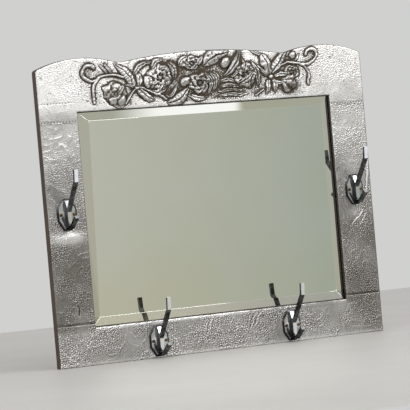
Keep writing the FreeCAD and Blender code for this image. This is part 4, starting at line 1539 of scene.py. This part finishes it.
@dataclass
class WearAndPaintedLight:
    """What years of handling left on one sheet: dark hollows, bright high places, worn flowers, and painted
    light.
    """

    facing: PewterFacing
    x: Array
    z: Array
    height: Array
    cover: Array
    band_fade: Point = (-16.0, 14.0)
    climb_run: Point = (-100.0, 150.0)
    corners: Spot = (352.0, 292.0, 62.0, 42.0)
    far_run: Point = (300.0, 360.0)
    dimmer_run: Point = (-50.0, 250.0)
    upper_run: Point = (60.0, 140.0)
    lower_run: Point = (90.0, 150.0)
    base_run: float = 12.0
    hook_shade: float = 1.08
    worked: Array = field(init=False)
    band: Array = field(init=False)
    climb: Array = field(init=False)
    deep: Array = field(init=False)
    crown: Array = field(init=False)
    soiled: Array = field(init=False)

    def __post_init__(self) -> None:
        """Works out what both the hollows and the bright places depend on."""
        top = self.facing.outline.open_z
        self.worked = self._blurred(self.cover, 1)
        self.band = ramp(self.z - top, *self.band_fade)
        self.climb = ramp(self.z, *self.climb_run)
        self.deep = self._blurred(self.height, 7) - self.height
        self.crown = held(0.13 * self.height - 0.34 * self.deep)
        self.soiled = np.zeros_like(self.x)
        if self.z.max() > top:
            self.soiled = FloralBand().patina(self.x, self.z - top)

    def numbers(self) -> dict[str, Array]:
        """The patina and painted shade, the tone with its painted highlights, and the gloss at each place,
        from nought to one.
        """
        return {"patina_and_shade": held(self._patina_and_shade()), "tone": held(self._tone()), "gloss": self.worked}

    def _patina_and_shade(self) -> Array:
        """How dark each place is: patina in the hollows that cloths don't reach, and painted shade round
        the hooks and along the foot.

        Returns:
            The patina and painted shade at each place.
        """
        x, z, shape = self.x, self.z, self.facing.outline
        hollow = self._blurred(self.height, 2) - self.height
        fine = (self._blurred(self.height, 1) - self.height) * self.cover
        uneven = np.clip(0.8 + 0.8 * Lattice.clouds(x, z, 24.0, 35), 0.25, 1.3)
        bite = (1.6 - 0.7 * self.climb) * (1 + (uneven - 1) * self._blurred(self.cover, 4))
        patina_and_shade = 0.34 + bite * hollow + 0.35 * fine + 0.3 * self.deep
        ground = held(self._blurred(self.cover, 9) - self.cover * 0.8)
        patina_and_shade = patina_and_shade + 0.45 * ground * np.clip((245 - np.abs(x)) / 70, 0.1, 1.0)
        seam = np.minimum(np.abs(z - self.facing.top_seam), np.abs(z - self.facing.bottom_seam))
        patina_and_shade = patina_and_shade + 0.5 * ridge(seam, 1.1)
        # darker along the free edges, more along the crest and not at the sill; along the foot it is a
        # painted contact shadow
        rim = ridge(shape.edge(x, z), 1.6) * ((z < -shape.open_z - 9) | (z > -shape.open_z))
        patina_and_shade = patina_and_shade + (0.3 + 0.3 * (z > shape.corner)) * rim
        # painted contact shadow round each hook's plate
        patina_and_shade = patina_and_shade + 0.3 * self.facing.under_hooks(x, z, self.hook_shade)
        speckle = held(Lattice.clouds(x, z, 2.6, 37) - 0.3)
        patina_and_shade = patina_and_shade + 0.75 * speckle * self.band * (1 - self.worked)
        patina_and_shade = patina_and_shade + 0.25 * self.worked * (1 - self.crown)
        return np.clip(patina_and_shade, 0.2, 1.0) + self.soiled * (1 - 0.3 * self.crown)

    def _tone(self) -> Array:
        """How bright each place is: handling polishes the flowers' crowns, with painted highlights along
        the sill and on the swellings.

        Returns:
            The tone at each place.
        """
        x, z, shape = self.x, self.z, self.facing.outline
        corner = mound(np.abs(x), z, *self.corners)
        sill = ridge(z + shape.open_z + 3, 4) * (np.abs(x) < shape.open_x)
        foot = ridge(z - shape.bottom - 3, 4)
        base = ramp(-z, shape.open_z, shape.open_z + self.base_run)
        far = ramp(x, *self.far_run)
        tone = 0.16 + 0.1 * Lattice.clouds(x, z, 60.0, 31) + 0.58 * self.band + 0.22 * base
        # brighter towards the top
        tone = tone + (0.3 + 0.12 * (x > 0)) * self.climb
        tone = tone - 0.2 * self.band * ramp(x, *self.dimmer_run)
        # brighter at the top left corner and darker at the top right; a painted highlight along the sill; a
        # brighter line along the foot
        tone = tone + (0.2 - 0.3 * (x > 0)) * corner + (0.3 + 0.5 * (x < 60)) * sill + 0.3 * foot
        tone = tone + 0.1 * ramp(z, *self.upper_run) * (1 - self.band)
        tone = tone + 0.03 * ramp(-z, *self.lower_run) * (1 - base)
        tone = tone + base * (0.10 - 0.24 * far) - 0.09 * far * ridge(z + 50, 60)
        # painted highlight on the swellings and raised creases
        tone = tone + 0.3 * np.clip(self.facing.dents(x, z), 0.0, 2.0)
        flowers = 0.10 + 0.62 * self.crown + 0.22 * Lattice.clouds(x, z, 22.0, 33)
        tone = tone * (1 - self.worked) + self.worked * flowers
        return tone * (1 - 0.9 * self.worked * self.soiled)

    @staticmethod
    def _blurred(numbers: Array, reach: int) -> Array:
        """Evens numbers out.

        Args:
            numbers: a number for each place of the grid.
            reach: how many cells away the neighbours lie.

        Returns:
            The mean of each place's neighbours.
        """
        size = 2 * reach + 1
        total = np.pad(np.pad(numbers, reach, mode="edge").cumsum(0).cumsum(1), ((1, 0), (1, 0)))
        corners = total[size:, size:] - total[:-size, size:] - total[size:, :-size] + total[:-size, :-size]
        return corners / size**2


@dataclass
class MirrorPlate:
    """The silvered plate: level in the middle, with a bevelled border that meets in mitres."""

    bevel: float = BEVEL
    arris: float = 2.0 * MM
    askew: float = 9.0 * MM
    level: float = -17.0 * MM
    edge: float = -14.4 * MM
    ground_angle: float = 3.0

    def build(self) -> None:
        """Makes the plate as rings of four corners, from its back to its level face."""
        low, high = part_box("mirror_plate")
        rings = ((0.0, high.y), (0.0, self.edge), (self.bevel, self.level))
        points = []
        for inset, y in rings:
            left, right, foot, head = low.x + inset, high.x - inset, low.z + inset, high.z - inset
            askew = self.askew * inset / self.bevel
            corners = ((left - askew / 2, foot), (right, foot), (right, head), (left + askew, head))
            points += [(x, y, z) for x, z in corners]
        faces = [(3, 2, 1, 0)]
        for ring in range(len(rings) - 1):
            for side in range(4):
                start, end = 4 * ring + side, 4 * ring + (side + 1) % 4
                faces.append((start, end, end + 4, start + 4))
        faces.append(tuple(range(len(points) - 4, len(points))))
        mesh = bpy.data.meshes.new("bevelled_plate")
        mesh.from_pydata(points, [], faces)
        piece = new_piece("bevelled_plate", mesh)
        for finish in (SILVERED, GROUND_EDGE):
            mesh.materials.append(finish.material())
        ground = piece.modifiers.new("ground_arris", "BEVEL")
        ground.width, ground.segments, ground.material = self.arris, 1, 1
        ground.limit_method, ground.angle_limit = "ANGLE", math.radians(self.ground_angle)
        stand_for(piece, Slot.MIRROR, "mirror_plate")


@dataclass
class CoatHook:
    """A cast hook: an eight-sided plate with sloping borders, an upright rib and two bent prongs.

    Its sizes are millimetres out from the facing and up from the plate's middle.
    """

    node: str
    plate: Point = (45.0, 67.0)
    plate_cut: Point = (13.0, 20.0)
    table: Point = (26.0, 48.0)
    chamfer: float = 3.6
    rim: float = 1.0
    shoulder: float = 3.2
    stand: float = 4.4
    bar_width: float = 8.5
    bar_depth: float = 7.0
    bar_root: float = 1.0
    upper: tuple[Point, ...] = ((0.0, 6.0), (11.0, 6.0), (59.0, 68.0), (61.5, 93.0))
    lower: tuple[Point, ...] = ((0.0, -26.5), (22.0, -26.5), (49.5, -6.0))
    rib: tuple[Point, ...] = ((15.0, 10.0), (6.0, 30.0))
    softness: float = 0.7
    soft_steps: int = 3
    soft_angle: float = 18.0
    sharp_angle: float = 35.0
    screw_pitch: float = 30.0
    mouth: float = 7.5
    mouth_floor: float = 2.4
    mouth_sides: int = 28
    # painted shade on the lower part of the plate: where it starts, how far down it grows, how dark it gets
    # and how far out it reaches
    drop_top: float = 6.0
    drop_height: float = 24.0
    drop_amount: float = 0.8
    drop_past: float = 0.2

    def middle(self) -> Vector:
        """The middle of the plate on the facing, in metres."""
        low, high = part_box(self.node)
        return Vector(((low.x + high.x) / 2, FACE, low.z + self.plate[1] / 2 * MM))

    def build(self) -> None:
        """Casts the hook, shades it and sets it on the facing."""
        body = new_piece(f"{self.node}_casting", self._plate())
        cast = self._cast(body)
        # painted shade, darker towards the foot of the plate, carried to the finish as drop
        drop = cast.attributes.new("drop", "FLOAT", "POINT")
        for vertex, level in zip(cast.vertices, drop.data):
            out, rise = -vertex.co.y / MM, vertex.co.z / MM
            below = min(max((self.drop_top - rise) / self.drop_height, 0.0), 1.0)
            level.value = self.drop_amount * below * (out < self.stand + self.drop_past)
        cast.shade_smooth()
        cast.set_sharp_from_angle(angle=math.radians(self.sharp_angle))
        cast.transform(Matrix.Translation(self.middle()))
        body.modifiers.new("even_shading", "WEIGHTED_NORMAL").keep_sharp = True
        CHROME.dress(body)
        stand_for(body, Slot.CHROME, self.node)

    def _cast(self, body: bpy.types.Object) -> bpy.types.Mesh:
        """Joins the bar to the plate, bores the plate and softens the edges.

        Args:
            body: the piece, which starts as the plate and ends as the casting.

        Returns:
            The casting's mesh.
        """
        bar = new_piece(f"{self.node}_bar", self._bar())
        mouths = new_piece(f"{self.node}_mouths", self._mouths())
        for tool, operation in ((bar, "UNION"), (mouths, "DIFFERENCE")):
            step = body.modifiers.new(tool.name, "BOOLEAN")
            step.operation, step.object, step.solver = operation, tool, "EXACT"
        soften = body.modifiers.new("soften", "BEVEL")
        soften.width, soften.segments = self.softness * MM, self.soft_steps
        soften.limit_method, soften.angle_limit = "ANGLE", math.radians(self.soft_angle)
        bpy.context.view_layer.update()
        graph = bpy.context.evaluated_depsgraph_get()
        cast = bpy.data.meshes.new_from_object(body.evaluated_get(graph))
        body.modifiers.clear()
        body.data = cast
        for tool in (bar, mouths):
            bpy.data.objects.remove(tool)
        return cast

    def _plate(self) -> bpy.types.Mesh:
        """The plate's rings of eight corners, closed back and front.

        Returns:
            The plate's mesh.
        """
        inside = (self.plate[0] - 2 * self.chamfer, self.plate[1] - 2 * self.chamfer)
        mesh = bmesh.new()
        rings = []
        steps = (
            (self.plate, 0.0), (self.plate, self.rim), (inside, self.shoulder), (self.table, self.stand),
        )
        for size, out in steps:
            cut = (self.plate_cut[0] * size[0] / self.plate[0], self.plate_cut[1] * size[1] / self.plate[1])
            rings.append([mesh.verts.new((x * MM, -out * MM, z * MM)) for x, z in self._octagon(size, cut)])
        for below, above in zip(rings, rings[1:]):
            for k in range(8):
                mesh.faces.new((below[k], below[(k + 1) % 8], above[(k + 1) % 8], above[k]))
        mesh.faces.new(rings[-1])
        mesh.faces.new(rings[0][::-1])
        return self._finished(mesh, "plate")

    def _mouths(self) -> bpy.types.Mesh:
        """What is bored out of the plate for the heads of its two screws.

        Returns:
            The mesh of the bores.
        """
        mesh = bmesh.new()
        depth = 2 * self.stand
        for x in (-self.screw_pitch / 2, self.screw_pitch / 2):
            middle = Vector((x, -self.mouth_floor - depth / 2, 0.0)) * MM
            turned = Matrix.Translation(middle) @ Matrix.Rotation(math.pi / 2, 4, "X")
            radius = self.mouth / 2 * MM
            bmesh.ops.create_cone(
                mesh, cap_ends=True, segments=self.mouth_sides, radius1=radius, radius2=radius,
                depth=depth * MM, matrix=turned,
            )
        return self._finished(mesh, "mouths")

    @staticmethod
    def _octagon(size: Point, cut: Point) -> list[Point]:
        """A rectangle with its corners cut off.

        Args:
            size: its width and height.
            cut: how much of each side a cut takes.

        Returns:
            The eight corners, anticlockwise from the foot.
        """
        x, z = size[0] / 2, size[1] / 2
        quarter = [(x - cut[0], -z), (x, cut[1] - z), (x, z - cut[1]), (x - cut[0], z)]
        return quarter + [(-a, -b) for a, b in quarter]

    def _bar(self) -> bpy.types.Mesh:
        """The rib and both prongs: one outline seen from the side, as wide as the bar.

        Returns:
            The bar's mesh.
        """
        high_under, high_over = self._sides(self.upper)
        low_under, low_over = self._sides(self.lower)
        front = self.rib[0][0]
        leave = self._meet(high_under[1], high_under[2], (front, 0.0), (front, 1.0))
        shoulder = self._meet(high_over[1], high_over[2], *self.rib)
        outline = [
            (self.bar_root, low_under[0][1]), *low_under[1:], *low_over[:0:-1], (front, low_over[0][1]),
            leave, *high_under[2:], *high_over[:1:-1], shoulder, self.rib[1],
            (self.bar_root, self.rib[1][1]),
        ]
        mesh = bmesh.new()
        half = self.bar_width / 2 * MM
        left = [mesh.verts.new((-half, -u * MM, v * MM)) for u, v in outline]
        right = [mesh.verts.new((half, -u * MM, v * MM)) for u, v in outline]
        for k in range(len(outline)):
            after = (k + 1) % len(outline)
            mesh.faces.new((left[k], left[after], right[after], right[k]))
        mesh.faces.new(left)
        mesh.faces.new(right[::-1])
        return self._finished(mesh, "bar")

    def _sides(self, route: Sequence[Point]) -> tuple[list[Point], list[Point]]:
        """The two edges of a bar along a route.

        Args:
            route: the bar's middle line.

        Returns:
            Points of the edge on its right and of the edge on its left.
        """
        edges = []
        for off in (-self.bar_depth / 2, self.bar_depth / 2):
            lines = []
            for (u, v), (u2, v2) in zip(route, route[1:]):
                size = math.hypot(u2 - u, v2 - v)
                du, dv = -(v2 - v) / size * off, (u2 - u) / size * off
                lines.append(((u + du, v + dv), (u2 + du, v2 + dv)))
            bends = [self._meet(*a, *b) for a, b in zip(lines, lines[1:])]
            edges.append([lines[0][0], *bends, lines[-1][1]])
        return edges[0], edges[1]

    @staticmethod
    def _meet(a: Point, b: Point, c: Point, d: Point) -> Point:
        """Where two lines cross.

        Args:
            a: a point of the first line.
            b: another point of it.
            c: a point of the second line.
            d: another point of it.

        Returns:
            The crossing.
        """
        run, other = (b[0] - a[0], b[1] - a[1]), (d[0] - c[0], d[1] - c[1])
        turn = run[0] * other[1] - run[1] * other[0]
        share = ((c[0] - a[0]) * other[1] - (c[1] - a[1]) * other[0]) / turn
        return a[0] + run[0] * share, a[1] + run[1] * share

    @staticmethod
    def _finished(made: bmesh.types.BMesh, name: str) -> bpy.types.Mesh:
        """Ends the making of a mesh.

        Args:
            made: the faces, turned either way.
            name: the mesh's name.

        Returns:
            The mesh with its faces turned outwards.
        """
        bmesh.ops.recalc_face_normals(made, faces=made.faces)
        mesh = bpy.data.meshes.new(name)
        made.to_mesh(mesh)
        made.free()
        return mesh


@dataclass(frozen=True)
class Panel:
    """A soft panel of light, of so many metres across and up and so many watts."""

    name: str
    spot: Place
    target: Place
    size: Point
    power: float

    def hang(self) -> None:
        """Hangs the panel so that it faces its target."""
        lamp = bpy.data.lights.new(self.name, "AREA")
        lamp.shape, lamp.size, lamp.size_y, lamp.energy = "RECTANGLE", *self.size, self.power
        panel = bpy.data.objects.new(self.name, lamp)
        bpy.context.scene.collection.objects.link(panel)
        panel.location = self.spot
        way = Vector(self.target) - Vector(self.spot)
        panel.rotation_euler = way.to_track_quat("-Z", "Y").to_euler()
        panel.visible_camera = False
        log.info("%s hangs", self.name)


@dataclass
class Studio:
    """A plain room: a pale floor, soft light and the camera."""

    floor_level: float
    wall: Colour = (0.63, 0.63, 0.625)
    daylight: Colour = (1.0, 1.0, 1.0)
    ceiling: Colour = (1.1, 1.1, 1.11)
    lit_side: Colour = (0.80, 0.80, 0.80)
    dim_side: Colour = (0.28, 0.28, 0.285)
    low_side: Colour = (0.10, 0.095, 0.09)
    pale_low_side: Colour = (0.60, 0.59, 0.565)
    room: tuple[tuple[float, Colour], ...] = (
        (0.0, (0.13, 0.115, 0.10)),
        (0.33, (0.18, 0.165, 0.145)),
        (0.385, (0.42, 0.41, 0.35)),
        (0.402, (0.86, 0.87, 0.90)),
        (0.43, (0.84, 0.85, 0.88)),
        (0.455, (0.49, 0.485, 0.40)),
        (0.56, (0.40, 0.40, 0.32)),
        (0.62, (0.39, 0.39, 0.33)),
        (0.72, (0.55, 0.56, 0.55)),
        (1.0, (0.85, 0.86, 0.88)),
    )
    horizon: tuple[tuple[float, Colour], ...] = (
        (0.0, (0.20, 0.20, 0.19)),
        (0.20, (0.38, 0.375, 0.32)),
        (0.33, (0.44, 0.43, 0.365)),
        (0.42, (0.50, 0.50, 0.43)),
        (0.47, (0.445, 0.455, 0.395)),
        (0.52, (0.36, 0.40, 0.355)),
        (0.62, (0.405, 0.41, 0.355)),
        (0.75, (0.44, 0.44, 0.385)),
    )
    panels: tuple[Panel, ...] = (
        Panel("ceiling_panel", (0.85, -1.35, 1.05), (0.0, 0.0, 0.25), (1.7, 0.75), 11.0),
        Panel("side_panel", (-1.9, -1.5, 1.0), (0.0, 0.0, 0.0), (1.4, 1.4), 10.0),
    )
    side_turn: Point = (-0.7, 0.6)
    low_turn: Point = (-0.05, 0.12)
    low_fade: Point = (-0.22, -0.02)
    ceiling_fade: Point = (0.08, 0.45)
    wall_fade: Point = (-0.1, 0.3)
    faced_across: Span = (0.06, 0.18, 0.68, 0.80)
    faced_up: Span = (-0.34, -0.27, 0.27, 0.36)
    window_across: Span = (0.437, 0.458, 0.482, 0.486)
    window_up: Span = (0.185, 0.195, 0.26, 0.30)
    strip_across: Span = (0.43, 0.44, 0.488, 0.495)
    strip_up: Span = (0.075, 0.09, 0.12, 0.13)
    glint_up: Span = (-0.13, -0.115, -0.085, -0.07)
    glint_end: Point = (0.44, 0.475)
    horizon_up: Span = (-0.15, -0.10, 0.10, 0.15)
    floor_half_width: float = 2.6
    floor_half_depth: float = 1.6
    lens: float = 219.5
    sensor: float = 36.0
    sight: float = 50.0
    spot: Place = (-2.5702, -4.8115, 0.0473)
    right: Place = (0.87944, -0.46823, -0.08572)
    up: Place = (0.07902, -0.03398, 0.99629)

    def build(self) -> None:
        """Sets the room up."""
        self._floor()
        self._surroundings()
        for panel in self.panels:
            panel.hang()
        self._camera()

    def _floor(self) -> None:
        """A floor that ends before the plate can show it."""
        mesh = bpy.data.meshes.new("stage_floor")
        x, y, level = self.floor_half_width, self.floor_half_depth, self.floor_level
        mesh.from_pydata(
            [(-x, -y, level), (x, -y, level), (x, y, level), (-x, y, level)], [], [(0, 1, 2, 3)],
        )
        floor = new_piece("stage_floor", mesh)
        FLOOR.dress(floor)
        log.info("%s is laid", floor.name)

    def _surroundings(self) -> None:
        """Light from all round: a pale wall behind, and the room that the plate faces."""
        world = bpy.data.worlds.new("room")
        world.use_nodes = True
        bpy.context.scene.world = world
        shader = Shader(world.node_tree)
        across, into, up = shader.axes(shader.node("ShaderNodeTexCoord").outputs["Generated"])
        cone = across.within(*self.faced_across) * up.within(*self.faced_up)
        soft = shader.mix(across.between(*self.side_turn), self.lit_side, self.dim_side)
        low = shader.mix(across.between(*self.low_turn), self.pale_low_side, self.low_side)
        soft = shader.mix(up.between(*self.low_fade), low, soft)
        soft = shader.mix(up.between(*self.ceiling_fade), soft, self.ceiling)
        front = shader.mix(cone, soft, self._faced(shader, across, up))
        colour = shader.mix(into.between(*self.wall_fade), front, self.wall)
        light = shader.node("ShaderNodeBackground", None, {"Color": colour, "Strength": 1.0})
        shader.node("ShaderNodeOutputWorld", None, {"Surface": light.outputs[0]})
        log.info("%s surrounds the stage", world.name)

    def _faced(self, shader: Shader, across: Value, up: Value) -> bpy.types.NodeSocket:
        """The part of the room that the plate faces, with its windows.

        Args:
            shader: the world's tree.
            across: how far a direction looks to the right.
            up: how far it looks up.

        Returns:
            The colour's socket.
        """
        room = shader.node("ShaderNodeValToRGB", {"stops": self.room}, {0: up * 0.5 + 0.5}).outputs[0]
        level = shader.node("ShaderNodeValToRGB", {"stops": self.horizon}, {0: across}).outputs[0]
        window = across.within(*self.window_across) * up.within(*self.window_up)
        strip = across.within(*self.strip_across) * up.within(*self.strip_up)
        glint = up.within(*self.glint_up) * (1.0 - across.between(*self.glint_end))
        walls = shader.mix(up.within(*self.horizon_up), room, level)
        return shader.mix((window + glint + strip).clamped(), walls, self.daylight)

    def _camera(self) -> None:
        """Places the camera where the picture was taken."""
        data = bpy.data.cameras.new("picture_camera")
        data.lens, data.sensor_width, data.clip_end = self.lens, self.sensor, self.sight
        camera = bpy.data.objects.new("picture_camera", data)
        bpy.context.scene.collection.objects.link(camera)
        right, up = Vector(self.right), Vector(self.up)
        turned = Matrix((right, up, right.cross(up))).transposed().to_4x4()
        camera.matrix_world = Matrix.Translation(self.spot) @ turned
        bpy.context.scene.camera = camera


def main() -> None:
    """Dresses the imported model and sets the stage."""
    logging.basicConfig(level=logging.INFO, format="%(name)s: %(message)s")
    dress_nodes(STAINED_RAIL, "top_rail", "bottom_rail")
    dress_nodes(STAINED_STILE, "left_stile", "right_stile")
    dress_nodes(BARE_BLOCK, "corner_dowels", "glazing_blocks")
    dress_nodes(BARE_BOARD, "back_board_left")
    dress_nodes(REDDER_BOARD, "back_board_middle")
    dress_nodes(PALER_BOARD, "back_board_right")
    dress_nodes(BRASS, *(f"{hook}_screws" for hook in HOOKS))
    dress_nodes(PIN_METAL, "top_seam_pins", "bottom_seam_pins")
    dress_nodes(ZINC, "back_board_screws")
    for side in SIDES:
        dress_nodes(ZINC, f"hanger_strap_{side}", f"hanger_ring_{side}", f"hanger_screws_{side}")
    outline = Outline.from_frame()
    hooks = [CoatHook(node) for node in HOOKS]
    seats = [(hook.middle().x / MM, hook.middle().z / MM) for hook in hooks]
    PewterFacing(outline, seats).build()
    MirrorPlate().build()
    for hook in hooks:
        hook.build()
    Studio(outline.bottom * MM).build()
    bpy.context.scene.view_settings.view_transform = "Standard"


if __name__ == "__main__":
    main()
